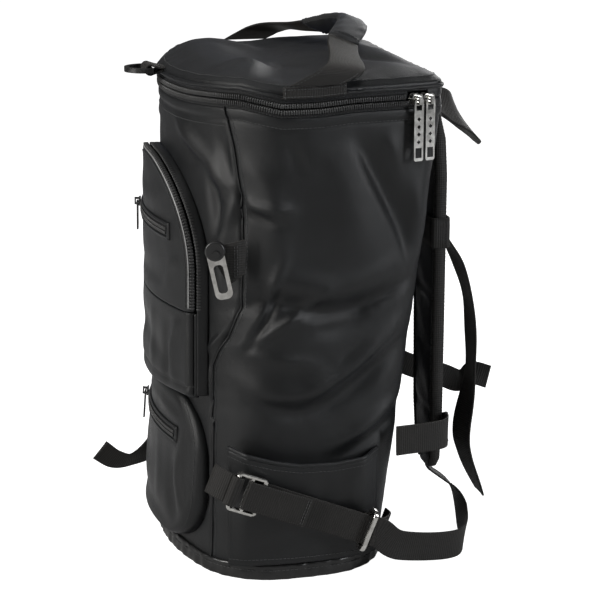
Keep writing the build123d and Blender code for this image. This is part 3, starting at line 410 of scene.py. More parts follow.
def at_length(P, s, where):
    return np.stack([np.interp(where, s, P[:, k]) for k in range(P.shape[1])], 1)


def tube_rings(b, rings, closed_ends=True, weave=None, material=None, loop=False):
    """A closed tube through rings of points. With loop it joins its own start."""
    n, m = rings.shape[:2]
    faces = []
    for i in range(n if loop else n - 1):
        k = (i + 1) % n
        for j in range(m):
            l = (j + 1) % m
            faces.append((i * m + j, i * m + l, k * m + l, k * m + j))
    if closed_ends and not loop:
        faces.append(tuple(reversed(range(m))))
        faces.append(tuple((n - 1) * m + j for j in range(m)))
    if weave is None:
        centre = rings.mean(1)
        s = along(centre)
        round_ = np.concatenate([[0], np.cumsum(np.linalg.norm(np.diff(rings[0], axis=0), axis=1))])
        weave = np.stack([np.repeat(s, m), np.tile(round_, n), np.zeros(n * m)], 1)
    return b.add(rings.reshape(-1, 3), faces, weave, material)


def frames(P, ways):
    """At each point of a line: its direction, the given way squared to it, and the third direction."""
    T = unit(np.gradient(P, axis=0))
    W = unit(np.broadcast_to(np.asarray(ways, float), P.shape))
    W = unit(W - T * (T * W).sum(1, keepdims=True))
    return T, W, np.cross(T, W)


RIBBON_SIDE = 9


def ribbon(b, P, ways, width, thick=WEBBING, curl=0.0, square=True, material=None, ripple=0.25, seed=0.0):
    """Webbing along the points P. ways is the way its width points. It has thick edges and is never quite flat."""
    P = np.asarray(P, float)
    n = len(P)
    T, W, U = frames(P, ways)
    if not square:
        W = unit(np.broadcast_to(np.asarray(ways, float), P.shape))
        U = unit(np.cross(T, W))
    width = np.broadcast_to(np.asarray(width, float), n)
    thick = np.broadcast_to(np.asarray(thick, float), n)
    s = along(P)
    v = np.cos(np.linspace(0, pi, RIBBON_SIDE))
    half = thick[:, None] / 2 * (0.78 + 0.22 * np.sqrt(1 - 0.9 * v[None, :] ** 6))
    bend = curl * (v[None, :] ** 2 - 0.35) + ripple * np.sin(s / 11.0 + seed)[:, None] * v[None, :]
    bend = bend + ripple * 0.7 * np.sin(s / 17.0 + 1.3 * seed)[:, None]
    side = width[:, None] / 2 * v[None, :]
    top = P[:, None] + W[:, None] * side[..., None] + U[:, None] * (bend + half)[..., None]
    low = P[:, None] + W[:, None] * side[..., None] + U[:, None] * (bend - half)[..., None]
    rings = np.concatenate([top, low[:, ::-1]], 1)
    w_side = np.concatenate([side, side[:, ::-1]], 1)
    weave = np.stack([np.repeat(s, 2 * RIBBON_SIDE), w_side.ravel(), np.zeros(n * 2 * RIBBON_SIDE)], 1)
    tube_rings(b, rings, True, weave, material)
    return P, T, W, U


def cord_line(b, P, radius, sides=8, loop=False, material=None, flat=1.0, up=(0, 0, 1)):
    """A round cord, such as piping, along the points P."""
    P = np.asarray(P, float)
    if loop:
        T = unit(np.roll(P, -1, 0) - np.roll(P, 1, 0))
        W = np.broadcast_to(np.asarray(up, float), P.shape)
        W = unit(W - T * (T * W).sum(1, keepdims=True))
        U = np.cross(T, W)
    else:
        T, W, U = frames(P, up)
    a = np.linspace(0, 2 * pi, sides, endpoint=False)
    c, s = np.cos(a)[None, :, None], np.sin(a)[None, :, None]
    rings = P[:, None] + radius * (c * W[:, None] + flat * s * U[:, None])
    return tube_rings(b, rings, True, None, material, loop)


def capsule(length, radius, sides=6):
    """A small thread-like template along X, Z out."""
    xs = np.array([-0.5, -0.36, 0.0, 0.36, 0.5]) * length
    rs = np.array([0.35, 0.85, 1.0, 0.85, 0.35]) * radius
    lift = np.array([-0.8, -0.1, 0.25, -0.1, -0.8]) * radius
    a = np.linspace(0, 2 * pi, sides, endpoint=False)
    rings = np.zeros((5, sides, 3))
    rings[..., 0] = xs[:, None]
    rings[..., 1] = rs[:, None] * np.cos(a)
    rings[..., 2] = rs[:, None] * np.sin(a) + lift[:, None]
    faces = []
    for i in range(4):
        for j in range(sides):
            k = (j + 1) % sides
            faces.append((i * sides + j, i * sides + k, (i + 1) * sides + k, (i + 1) * sides + j))
    faces.append(tuple(reversed(range(sides))))
    faces.append(tuple(4 * sides + j for j in range(sides)))
    return rings.reshape(-1, 3), faces


def scatter(b, template, faces, O, X, Y, Z, material):
    """Copies of a template, one at each place O with the axes X, Y and Z."""
    pts = O[:, None] + template[None, :, 0:1] * X[:, None] + template[None, :, 1:2] * Y[:, None]
    pts = pts + template[None, :, 2:3] * Z[:, None]
    m = len(template)
    all_faces = [tuple(k * m + i for i in f) for k in range(len(O)) for f in faces]
    return b.add(pts.reshape(-1, 3), all_faces, None, material)


def stitches(b, P, out, pitch=3.3, radius=0.27, material=None):
    """A sewn line along P. out is the way off the cloth, for all or for each point."""
    P = np.asarray(P, float)
    s = along(P)
    count = max(int(s[-1] / pitch), 1)
    where = (np.arange(count) + 0.5) * s[-1] / count
    O = at_length(P, s, where)
    T = unit(at_length(P, s, where + 0.4) - at_length(P, s, where - 0.4))
    out = np.broadcast_to(np.asarray(out, float), P.shape)
    Z = at_length(out, s, where)
    Z = unit(Z - T * (Z * T).sum(1, keepdims=True))
    template, faces = capsule(pitch * 0.8, radius)
    return scatter(b, template, faces, O + Z * radius * 0.5, T, np.cross(Z, T), Z, material or THREAD)


def teeth(b, P, up, out, near, far, thick, pitch, phase=0.0, material=None):
    """Half of a coil zipper: a row of coil turns across the tape from near to far."""
    P = np.asarray(P, float)
    s = along(P)
    count = int((s[-1] - pitch) / pitch)
    where = (np.arange(count) + 0.5 + phase) * pitch
    O = at_length(P, s, where)
    T = unit(at_length(P, s, where + 0.3) - at_length(P, s, where - 0.3))
    Z = unit(at_length(np.broadcast_to(np.asarray(out, float), P.shape), s, where))
    Z = unit(Z - T * (Z * T).sum(1, keepdims=True))
    U = np.broadcast_to(np.asarray(up, float), P.shape)
    U = unit(at_length(U, s, where))
    U = unit(U - T * (U * T).sum(1, keepdims=True))
    reach = abs(far - near)
    sign = 1.0 if far > near else -1.0
    us = np.array([0.0, 0.08, 0.3, 0.7, 0.92, 1.0])
    size = np.array([0.45, 0.92, 1.0, 0.95, 0.8, 0.4])
    a = np.linspace(0, 2 * pi, 8, endpoint=False)
    template = np.zeros((len(us), 8, 3))
    template[..., 0] = np.cos(a)[None] * size[:, None] * pitch * 0.43
    template[..., 1] = (near + sign * us * reach)[:, None]
    template[..., 2] = thick / 2 + np.sin(a)[None] * size[:, None] * thick / 2
    faces = []
    for i in range(len(us) - 1):
        for j in range(8):
            k = (j + 1) % 8
            f = (i * 8 + j, i * 8 + k, (i + 1) * 8 + k, (i + 1) * 8 + j)
            faces.append(f if sign < 0 else tuple(reversed(f)))
    cap, end = tuple(range(8)), tuple((len(us) - 1) * 8 + j for j in range(8))
    faces.append(tuple(reversed(cap)) if sign < 0 else cap)
    faces.append(end if sign < 0 else tuple(reversed(end)))
    return scatter(b, template.reshape(-1, 3), faces, O, T, U, Z, material)


# ---- the body's outline --------------------------------------------------------------------------
class Outline:
    """A plan outline: a flat back, bulged sides and front, and four round corners, all tangent."""

    def __init__(self, width, depth, shift, back, front):
        self.shift, self.back, self.front = shift, back, front
        self.side_c = np.array([width / 2 - SIDE_RADIUS, shift])
        self.front_c = np.array([0.0, shift - depth / 2 + FRONT_RADIUS])
        back_y = shift + depth / 2 - back
        self.back_c = np.array([self.side_c[0] + sqrt((SIDE_RADIUS - back) ** 2 - (back_y - shift) ** 2), back_y])
        r0, r1 = SIDE_RADIUS - front, FRONT_RADIUS - front
        d = self.front_c - self.side_c
        length = np.hypot(*d)
        a = (r0 * r0 - r1 * r1 + length * length) / (2 * length)
        h = sqrt(r0 * r0 - a * a)
        mid = self.side_c + d * a / length
        self.corner_c = max([mid + k * h * np.array([d[1], -d[0]]) / length for k in (1, -1)], key=lambda q: q[0])

    def half(self):
        """The right half from the front's middle to the back's: points and outward directions."""
        def turn(c, q):
            return atan2(q[1] - c[1], q[0] - c[0])
        first = turn(self.front_c, self.corner_c)
        second = turn(self.side_c, self.corner_c)
        third = turn(self.side_c, self.back_c)
        pts, outs = [], []
        arcs = ((self.front_c, FRONT_RADIUS, -pi / 2, first, 60), (self.corner_c, self.front, first, second, 40),
                (self.side_c, SIDE_RADIUS, second, third, 110), (self.back_c, self.back, third, pi / 2, 24))
        for c, r, a, b, n in arcs:
            t = np.linspace(a, b, n, endpoint=False)
            d = np.stack([np.cos(t), np.sin(t)], 1)
            pts.append(c + r * d)
            outs.append(d)
        x = np.linspace(self.back_c[0], 0, 60)
        pts.append(np.stack([x, np.full(60, self.back_c[1] + self.back)], 1))
        outs.append(np.tile([0.0, 1.0], (60, 1)))
        return np.concatenate(pts), np.concatenate(outs)


def outline_at(z):
    """The body's outline at a height: it tapers evenly from the rim to the base."""
    t = z / BODY_TOP
    return Outline(**{k: BASE[k] + (RIM[k] - BASE[k]) * t for k in RIM})


class Level:
    """One height of the body, with its points by length round it from the front's middle."""

    def __init__(self, z):
        self.p, self.n = outline_at(z).half()
        self.s = along(self.p)
        self.total = self.s[-1]
        side = (self.p[:, 0] > 100) & (self.p[:, 1] < 60)
        self.seam = float(np.interp(np.interp(z, *SEAM_LINE), self.p[side, 1], self.s[side]))
        back = self.p[:, 1] > self.p[:, 1].max() - 0.01
        xs = self.p[back, 0][::-1]
        self.back = float(np.interp(SEAM_BACK_X, xs, self.s[back][::-1]))

    def at(self, lengths):
        """Points and outward directions at those lengths. Below zero they are on the left."""
        L = np.asarray(lengths, float)
        m = np.where(L < 0, -1.0, 1.0)
        L = np.abs(L)
        over = L > self.total
        L, m = np.where(over, 2 * self.total - L, L), np.where(over, -m, m)
        p = np.stack([np.interp(L, self.s, self.p[:, 0]) * m, np.interp(L, self.s, self.p[:, 1])], -1)
        n = np.stack([np.interp(L, self.s, self.n[:, 0]) * m, np.interp(L, self.s, self.n[:, 1])], -1)
        return p, unit(n)


def side_x(y, z, out=0.0):
    o = outline_at(z)
    return o.side_c[0] + sqrt((SIDE_RADIUS + out) ** 2 - (y - o.side_c[1]) ** 2)


def front_y(x, z, out=0.0):
    """y of the front grown by out, at x and z."""
    o = outline_at(z)
    r = FRONT_RADIUS + out
    first = atan2(o.corner_c[1] - o.front_c[1], o.corner_c[0] - o.front_c[0])
    if abs(x) < r * cos(first):
        return o.front_c[1] - sqrt(r * r - x * x)
    rc = o.front + out
    return o.corner_c[1] - sqrt(max(rc * rc - (abs(x) - o.corner_c[0]) ** 2, 0.0))


def back_wall(z):
    return 86.0 + 40.0 * z / BODY_TOP


def rim_wave(x, y):
    """The loaded rim stands up to 3 mm high near its front corners and sags as much at the sides' middle."""
    ys = np.array([-200, -85, -60, -37, -8, 22, 46, 60, 200.0])
    dz = np.array([1.0, 1.2, 2.6, 3.0, -3.2, -2.6, -0.4, 0.0, 0.0])
    near = np.interp(y, ys, dz)
    return near * (0.35 + 0.65 * step01((np.abs(x) - 60) / 60.0))


# ---- folds ---------------------------------------------------------------------------------------
def fold(a, z, line, width, height, lean=0.0, sharp=2.0):
    """A fold along a line of (a, z) points. It fades at both ends, and lean makes one side steeper."""
    line = smooth(line, 8)
    s = along(line)
    best = np.full(a.shape, 1e9)
    offset, share = np.zeros(a.shape), np.zeros(a.shape)
    for i in range(len(line) - 1):
        p, q = line[i], line[i + 1]
        d = q - p
        n2 = float(d @ d)
        t = np.clip(((a - p[0]) * d[0] + (z - p[1]) * d[1]) / n2, 0, 1)
        dx, dz = a - p[0] - t * d[0], z - p[1] - t * d[1]
        dist = np.hypot(dx, dz)
        closer = dist < best
        best = np.where(closer, dist, best)
        offset = np.where(closer, np.sign(d[0] * dz - d[1] * dx) * dist, offset)
        share = np.where(closer, (s[i] + t * sqrt(n2)) / s[-1], share)
    w = width * (1 + lean * np.sign(offset) * 0.6)
    fade = np.sin(pi * np.clip(0.06 + 0.88 * share, 0, 1)) ** 0.8
    return height * fade * np.exp(-((np.abs(offset) / w) ** sharp))


def drift(a, z, seed=0.0):
    """Slow unevenness, about one millimetre either way."""
    u, v = a / 31.0 + seed, z / 37.0 - 0.7 * seed
    w = 0.55 * np.sin(u + 1.3 * np.sin(0.8 * v + seed)) * np.cos(0.9 * v)
    w += 0.32 * np.sin(2.1 * u - 1.4 * v + 2.0 * seed) + 0.2 * np.sin(3.3 * v + 1.7 * u)
    return w + 0.10 * np.sin(5.9 * u + 4.1 * v) * np.sin(2.3 * v)


def seam_puckers(dist, z, seed=0.0, reach=15.0):
    """A sewn seam draws the cloth in, and small creases run away from it."""
    groove = -1.5 * np.exp(-((dist / 1.7) ** 2))
    wave = np.sin(z / 3.4 + 1.6 * np.sin(z / 13.0 + seed)) * 0.5 + 0.6 * np.sin(z / 8.3 + seed)
    return groove + 0.62 * wave * np.exp(-dist / reach) * step01(dist / 3.0)


SIDE_FOLDS = (
    # points (y, z), width, height, lean
    (((50, 372), (62, 348), (78, 318), (92, 290), (100, 262)), 9.0, -6.7, 0.5),
    (((36, 366), (42, 330), (52, 300), (70, 268)), 20.0, 5.2, -0.2),
    (((104, 330), (108, 290), (106, 250)), 8.0, 3.5, 0.0),
    (((-38, 240), (-12, 236), (30, 226), (70, 234), (104, 252)), 8.5, -6.7, 0.5),
    (((-30, 256), (0, 252), (40, 248), (84, 262)), 12.0, 4.1, 0.0),
    (((18, 212), (40, 214), (66, 226)), 8.0, -4.6, 0.0),
    (((8, 152), (28, 166), (56, 186), (92, 216)), 7.0, 6.1, 0.4),
    (((14, 140), (38, 152), (66, 172), (100, 200)), 7.5, -5.5, -0.3),
    (((34, 112), (58, 126), (92, 148)), 5.5, 4.6, 0.3),
    (((44, 104), (70, 118), (100, 138)), 6.0, -4.1, 0.0),
    (((-40, 203), (-26, 222), (-12, 250), (-4, 278)), 5.0, 3.3, 0.3),
    (((-40, 200), (-14, 214), (12, 232), (30, 246)), 4.6, 3.5, -0.2),
    (((-34, 196), (-18, 228), (-6, 262)), 3.6, -3.2, 0.0),
    (((-40, 196), (-10, 190), (20, 186)), 5.0, 2.6, 0.0),
    (((-36, 168), (-12, 160), (12, 164), (34, 182)), 9.0, 4.3, 0.3),
    (((-30, 152), (0, 144), (26, 152)), 8.0, -3.5, 0.0),
    (((-40, 322), (-24, 314), (0, 312)), 4.4, 3.5, 0.2),
    (((-40, 314), (-22, 305), (-4, 298)), 3.2, -3.2, 0.0),
    (((-38, 352), (-18, 330), (-10, 300), (-14, 270)), 10.0, 2.6, 0.0),
    (((-8, 384), (0, 366), (4, 340)), 8.0, -2.6, 0.0),
    (((84, 384), (80, 366), (86, 344)), 6.0, 2.6, 0.0),
)
FRONT_FOLDS = (
    # points (distance from the seam, below zero towards the front; z), width, height, lean
    (((-88, 384), (-60, 362), (-30, 340), (-4, 328)), 9.0, 4.9, 0.3),
    (((-60, 352), (-40, 336), (-26, 312), (-22, 286)), 8.0, -6.1, 0.0),
    (((-12, 380), (-10, 350), (-6, 330)), 8.0, -3.2, 0.0),
    (((-4, 318), (-16, 300), (-22, 270), (-18, 240)), 7.0, 3.8, 0.0),
    (((-2, 212), (-12, 190), (-26, 170), (-34, 150)), 6.0, 4.9, 0.4),
    (((-4, 196), (-16, 172), (-30, 150), (-36, 128)), 5.0, -4.3, 0.0),
    (((-6, 186), (-12, 150), (-18, 110), (-20, 70), (-16, 36)), 8.0, 4.6, 0.2),
    (((-20, 130), (-30, 96), (-32, 60)), 7.0, -4.3, 0.0),
    (((-44, 70), (-30, 50), (-14, 40)), 6.0, 3.8, 0.0),
)
SEAM_PINCHES = ((322, 1.0), (305, 0.8), (232, 0.9), (205, 1.2), (150, 0.7))


def field(folds, a, z):
    total = np.zeros(a.shape)
    for line, width, height, lean in folds:
        total += fold(a, z, line, width, height, lean)
    return total


def pinches(dist, z):
    total = np.zeros(z.shape)
    for at, much in SEAM_PINCHES:
        total -= much * 2.0 * np.exp(-(((z - at) / 5.0) ** 2)) * np.exp(-dist / 6.0)
    return total


# ---- the body's cloth ----------------------------------------------------------------------------
CLOTH_TOP = BODY_TOP + 2.6
HEM_Z = 379.0
HEIGHTS = np.concatenate([np.linspace(1.2, 16, 8), np.linspace(18.5, 372, 142), np.linspace(374.0, CLOTH_TOP, 9)])
LEVELS = [Level(min(z, BODY_TOP)) for z in HEIGHTS]
# for each level, the lengths from the front's middle to the front seam, the back seam and the back's middle
SEAMS, BACKS, TOTALS = (np.array([getattr(lv, key) for lv in LEVELS])[:, None] for key in ("seam", "back", "total"))


def hem_turn(z):
    """The folded edge under the zipper stands a little proud of its tape, with a sewn dip below it."""
    edge = 0.9 * step01((z - HEM_Z - 0.5) / 3.0) * step01((CLOTH_TOP + 0.5 - z) / 2.0)
    return edge - 0.7 * np.exp(-(((z - HEM_Z) / 1.3) ** 2))


def wall_patch(span, columns, push):
    """A patch of the body's wall: span gives its first and last length at a level, push its folds."""
    P = np.zeros((len(HEIGHTS), columns, 3))
    N = np.zeros_like(P)
    L = np.zeros((len(HEIGHTS), columns))
    share = np.linspace(0, 1, columns)
    for i, (z, level) in enumerate(zip(HEIGHTS, LEVELS)):
        a, b = span(level)
        L[i] = a + (b - a) * share
        p, n = level.at(L[i])
        P[i, :, :2], P[i, :, 2], N[i, :, :2] = p, z, n
    Z = P[..., 2].copy()
    calm = step01((Z - 3) / 22.0) * (1 - 0.85 * step01((Z - 356) / 22.0))
    P += N * (push(P, L, Z) * calm + hem_turn(Z))[..., None]
    P[..., 2] += rim_wave(P[..., 0], P[..., 1]) * step01((Z - 330) / 56.0)
    weave = np.stack([L, Z, np.zeros_like(L)], 2)
    return P, N, weave


def pocket_calm(x, z):
    """No folds where the front pockets are sewn on."""
    upper = step01((np.hypot(np.maximum(np.abs(x) - 88, 0), np.maximum(np.maximum(z - 336, 148 - z), 0)) - 2) / 14)
    lower = step01((np.hypot(np.maximum(np.abs(x) - 90, 0), np.maximum(z - 148, 0)) - 2) / 14)
    return upper * lower


def make_body():
    def side_push(mirror):
        def push(P, L, Z):
            front_d, back_d = np.abs(np.abs(L) - SEAMS), np.abs(BACKS - np.abs(L))
            y, z = P[..., 1], Z
            if mirror:
                y, z = 70 - y * 0.94, z * 0.97 + 14
            folds = field(SIDE_FOLDS, y, z) + 1.0 * drift(y, z, 2.0 if mirror else 0.4)
            edge = step01(front_d / 9.0) * (0.25 + 0.75 * step01(back_d / 16.0))
            pocket = 1 - 0.8 * step01((108 - Z) / 16.0) * step01((Z - 8) / 10)
            out = folds * edge * pocket + seam_puckers(front_d, Z, 0.6) + seam_puckers(back_d, Z, 2.1, 10.0)
            sliders = 1 - 0.75 * step01((P[..., 1] - 84) / 14.0) * step01((Z - 325) / 18.0)
            return (out + pinches(front_d, Z)) * sliders
        return push

    for name, mirror in (("right", False), ("left", True)):
        def span(lv):
            return (-lv.back, -lv.seam) if mirror else (lv.seam, lv.back)
        P, N, weave = wall_patch(span, 84, side_push(mirror))
        b = started("fabric_black")
        sheet_shell(b, P, BODY_CLOTH, weave=weave)
        edge = P[:, -1] if mirror else P[:, 0]
        line = P[:, -3] if mirror else P[:, 2]
        out = N[:, -3] if mirror else N[:, 2]
        cord_line(b, edge + (N[:, -1] if mirror else N[:, 0]) * 0.7, 1.0, 6)
        stitches(b, line[6:-4], out[6:-4])
        hem_row = int(np.searchsorted(HEIGHTS, HEM_Z))
        stitches(b, P[hem_row], N[hem_row])
        b.make(f"side_cloth_{name}", "bag", "fabric_black", [f"side_panel_{name}"])

    def front_push(P, L, Z):
        dist = SEAMS - np.abs(L)
        a = -dist
        other = P[..., 0] < 0
        folds = np.where(other, field(FRONT_FOLDS, a * 0.9, Z * 0.96 + 12) * 0.8, field(FRONT_FOLDS, a, Z))
        folds = folds + drift(L, Z, 1.1) * 0.9
        calm = step01(dist / 8.0) * pocket_calm(P[..., 0], Z)
        return folds * calm + seam_puckers(dist, Z, 1.5) + pinches(dist, Z)
    P, N, weave = wall_patch(lambda lv: (-lv.seam, lv.seam), 190, front_push)
    b = started("fabric_black")
    sheet_shell(b, P, BODY_CLOTH, weave=weave)
    stitches(b, P[-9], N[-9])
    b.make("front_cloth", "bag", "fabric_black", ["front_panel"])

    def back_push(P, L, Z):
        x = P[..., 0]
        dist = np.abs(np.abs(TOTALS - L) - (TOTALS - BACKS))
        inside = step01((88 - np.abs(x)) / 8.0) * step01((Z - 22) / 10.0) * step01((352 - Z) / 10.0)
        rib = np.abs(np.sin(pi * (x + 88) / 35.2)) ** 0.55 * np.abs(np.sin(pi * (Z - 22) / 82.5)) ** 0.35
        puff = 2.0 * rib * inside
        return puff + 0.35 * drift(x, Z, 3.0) + seam_puckers(dist, Z, 0.9, 9.0)
    P, N, weave = wall_patch(lambda lv: (lv.back, 2 * lv.total - lv.back), 100, back_push)
    b = started("fabric_black")
    sheet_shell(b, P, BODY_CLOTH, weave=weave)
    stitches(b, P[-9], N[-9])
    for x in (-88, -52.8, -17.6, 17.6, 52.8, 88):
        column = np.argmin(np.abs(P[60, :, 0] - x))
        stitches(b, P[9:-16, column], N[9:-16, column])
    b.make("back_cloth", "bag", "fabric_black", ["back_panel"])


def ring_at(z, out=0.0, count=520):
    """The whole outline at a height, grown by out: points, outward directions."""
    level = Level(min(z, BODY_TOP))
    L = np.linspace(-level.total, level.total, count, endpoint=False)
    p, n = level.at(L)
    P = np.column_stack([p + n * out, np.full(count, z)])
    return P, np.column_stack([n, np.zeros(count)])


def make_base():
    ring, _ = ring_at(1.0, -0.5, 300)
    centre = np.array([0.0, 0.0, 1.0])
    shares = np.concatenate([[0.0, 0.008], np.linspace(0.03, 0.985, 26)])
    rows = []
    for f in shares:
        row = centre + (ring - centre) * (1 - f)
        uneven = 0.25 * np.sin(row[:, 0] / 17.0) * np.sin(row[:, 1] / 21.0)
        row[:, 2] = 0.35 + (1.5 + uneven) * step01(f / 0.1)
        rows.append(row)
    P = np.array(rows)[::-1]
    b = started("fabric_black")
    inner = P.copy()
    inner[..., 2] += BODY_CLOTH
    sheet_shell(b, P[::-1, ::-1], 0, wrap=True, inner=inner[::-1, ::-1], weave=P[::-1, ::-1])
    m = P.shape[1]
    first = P[0]
    low = np.vstack([first, [[0, 0, first[:, 2].mean()]]])
    b.add(low, [(m, (i + 1) % m, i) for i in range(m)])
    up = low + [0, 0, BODY_CLOTH]
    b.add(up, [(m, i, (i + 1) % m) for i in range(m)])
    b.make("base_cloth", "bag", "fabric_black", ["base_panel"])

    # the band round the foot: a folded strip, rolled under, with one sewn line
    b = started("coated_rim")
    profile = [(-0.2, 0.4), (0.9, 0.0), (2.0, 0.5), (2.5, 1.8), (2.45, 4.5), (2.2, 7.5), (1.9, 8.6), (2.2, 9.6),
               (2.35, 11.6), (2.0, 12.9), (1.2, 13.6), (0.3, 13.4), (0.2, 9.0), (0.2, 4.0)]
    rings = []
    for d, z in profile:
        P, N = ring_at(z, 0, 520)
        s = np.arange(len(P)) / 520 * 2 * pi
        ripple = 0.30 * np.sin(41 * s + z * 0.3) + 0.22 * np.sin(67 * s)
        P = P + N * (d + ripple * (0.25 if d < 1 else 1.0))[..., None]
        P[:, 2] += 0.35 * np.sin(9 * s) * min(z / 8.0, 1)
        rings.append(P)
    tube_rings(b, np.array(rings).transpose(1, 0, 2), False, None, None, loop=True)
    P, N = ring_at(8.6, 2.0, 520)
    stitches(b, P, N, 3.6, 0.3)
    b.make("base_band", "bag", "coated_rim", ["base_binding"])


# ---- rim zipper and lid --------------------------------------------------------------------------
def rim_line(z, out, back=False, cut=None, step=900):
    """The rim's line at a height. The zipper's part is open at the back; with back, it is the back part."""
    level = Level(BODY_TOP)
    at_back = level.p[:, 1] > 110
    end = float(np.interp(-ZIP_END_X, -level.p[at_back, 0], level.s[at_back]))
    if back:
        L = np.linspace(end, 2 * level.total - end, step // 4)
    else:
        L = np.linspace(-end, end if cut is None else cut, step)
    p, n = level.at(L)
    P = np.column_stack([p + n * out, np.full(len(L), z)])
    P[:, 2] += rim_wave(P[:, 0], P[:, 1])
    return P, np.column_stack([n, np.zeros(len(L))]), L


def parked_length():
    """Where the lid's half of the zipper ends, just ahead of the parked sliders."""
    level = Level(BODY_TOP)
    x_side = level.p[:, 0] > 110
    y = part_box("rim_slider_2")[0][1] / MM - 1.5
    return float(np.interp(y, level.p[x_side, 1], level.s[x_side]))


def tape_band(b, z0, z1, out0, out1, cut=None, back=False, thick=0.9, rows=5):
    lines = []
    for f in np.linspace(0, 1, rows):
        z = z0 + (z1 - z0) * f
        lines.append(rim_line(z, out0 + (out1 - out0) * f + 0.12 * sin(f * 9), back, cut)[0])
    return sheet_shell(b, np.array(lines), thick, material=TAPE)


def make_rim_zipper():
    up = (0, 0, 1)
    for name, sign, body, cut in (("lower", -1, "bag", None), ("upper", 1, "lid", parked_length())):
        b = started("zipper_black")
        near, far = ZIP_Z + sign * 0.55, ZIP_Z + sign * 9.0
        tape_band(b, min(near, far), max(near, far), -0.1, -0.1, cut)
        P, N, _ = rim_line(ZIP_Z, 0.0, False, cut, 1600)
        teeth(b, P, up, N, sign * 0.5, sign * 4.5, 2.5, 1.85, 0.0 if sign < 0 else 0.5)
        P, N, _ = rim_line(ZIP_Z + sign * 5.2, 0.0, False, cut, 1600)
        cord_line(b, P + N * 0.45, 0.5, 6, material=TAPE)
        stitches(b, P + [0, 0, sign * 1.2], N, 2.9, 0.24)
        b.make(f"rim_chain_{name}", body, "zipper_black", [f"rim_zip_{name}"])
    for name, z0, z1, body, node in (("hinge_tape", BODY_TOP, ZIP_Z - 0.3, "bag", "lid_hinge_strip"),
                                     ("lid_back_tape", ZIP_Z + 0.3, LID_LOW, "lid", "lid_back_band")):
        b = started("fabric_black")
        lines = [rim_line(z0 + (z1 - z0) * f, -0.1 + 0.5 * sin(pi * f), True)[0] for f in np.linspace(0, 1, 7)]
        sheet_shell(b, np.array(lines), 0.9)
        P, N, _ = rim_line((z0 + z1) / 2 - 2.2, 0.35, True)
        stitches(b, P, N)
        b.make(name, body, "fabric_black", [node])


LID_FOLDS = (
    # points (x, y), width, height, lean
    (((60, -70), (20, -46), (-40, -40), (-90, -52)), 22.0, 5.0, 0.2),
    (((118, 0), (70, 12), (10, 6), (-60, 18), (-110, 10)), 26.0, -7.0, 0.0),
    (((110, 86), (60, 92), (0, 84), (-70, 92)), 20.0, 6.5, 0.2),
    (((120, -40), (84, -22), (50, -30)), 12.0, 2.0, 0.3),
    (((124, -24), (90, -6), (40, -8)), 11.0, -1.8, 0.0),
    (((122, 58), (92, 46), (58, 60), (20, 50)), 8.0, 3.0, 0.3),
    (((100, 108), (84, 78), (56, 66)), 7.0, -2.6, 0.0),
    (((88, -66), (70, -30), (74, 0)), 9.0, 2.2, 0.0),
    (((-30, -70), (-50, -20), (-40, 30)), 14.0, 2.0, 0.0),
)


def make_lid():
    level = Level(BODY_TOP)
    count = 420
    L = np.linspace(-level.total, level.total, count, endpoint=False)
    p, n = level.at(L)
    centre = np.array([0.0, 23.0])
    span = np.linalg.norm(p - centre, axis=1)
    insets = np.concatenate([[0, 0, 0, 0.25, 1.0, 2.2], np.linspace(4.2, 100, 40)])
    upright = 5.3
    heights = LID_LOW + np.array([-0.6, 0.8, 2.2, 3.4, 4.5, upright])
    rise = LID_TOP - LID_LOW - upright
    rows = []
    gather = np.sin(L / 4.3 + 1.5 * np.sin(L / 19.0))
    wave = rim_wave(p[:, 0], p[:, 1])
    for k, inset in enumerate(insets):
        if k < len(heights):
            f = (inset / span)[:, None]
            q = p + (centre - p) * f
            z = np.full(count, heights[k]) + 0.25 * gather * step01((k - 2) / 3)
            fade, bulge = np.zeros(count), 0.5 * sin(pi * min(k / 5.0, 1))
        else:
            f = (inset / 101.0 * 0.985) * np.ones((count, 1))
            f = np.minimum(np.maximum(f, (2.2 / span)[:, None] + 0.01 * (k - 5)), 0.985)
            q = p + (centre - p) * f
            depth = span * f[:, 0]
            z = LID_LOW + upright + rise * (1 - np.exp(-depth / 26.0))
            z = z + field(LID_FOLDS, q[:, 0], q[:, 1]) * step01((depth - 2) / 26.0)
            z = z + 0.8 * drift(q[:, 0] * 1.3, q[:, 1] * 1.3, 0.2) * step01((depth - 2) / 16.0)
            z = z + gather * np.exp(-depth / 9.0) * 0.45
            fade, bulge = step01(1 - 0.8 * np.linalg.norm(q - centre, axis=1) / span), 0.0
        rows.append(np.column_stack([q + n * bulge, z + wave * (1 - fade)]))
    P = np.array(rows)
    b = started("fabric_black")
    weave = np.stack([P[..., 0], P[..., 1] + P[..., 2], np.zeros(P.shape[:2])], 2)
    sheet_shell(b, P, LID_CLOTH, wrap=True, weave=weave)
    last = P[-1]
    m = len(last)
    tris = [(i, (i + 1) % m, m) for i in range(m)]
    for ring, faces in ((last, tris), (last - [0, 0, LID_CLOTH], [tuple(reversed(t)) for t in tris])):
        b.add(np.vstack([ring, ring.mean(0)]), faces)
    stitches(b, P[6], np.array([0, 0, 1.0]) + np.column_stack([n, np.zeros(count)]) * 0.5)
    b.make("lid_cloth", "lid", "fabric_black", ["lid_panel"])
    b = started("fabric_black")
    Q = np.column_stack([p + n * 0.9, np.full(count, LID_LOW + 0.2) + wave])
    s = np.arange(count) / count * 2 * pi
    Q[:, 2] += 0.18 * np.sin(57 * s) + 0.12 * np.sin(23 * s)
    cord_line(b, Q, 1.55, 10, loop=True)
    flange = np.array([np.column_stack([p + n * 0.25, LID_LOW + drop + wave]) for drop in (-2.6, -1.6, -0.6)])
    sheet_shell(b, flange, 0.5, wrap=True)
    b.make("lid_piping_cord", "lid", "fabric_black", ["lid_piping"])


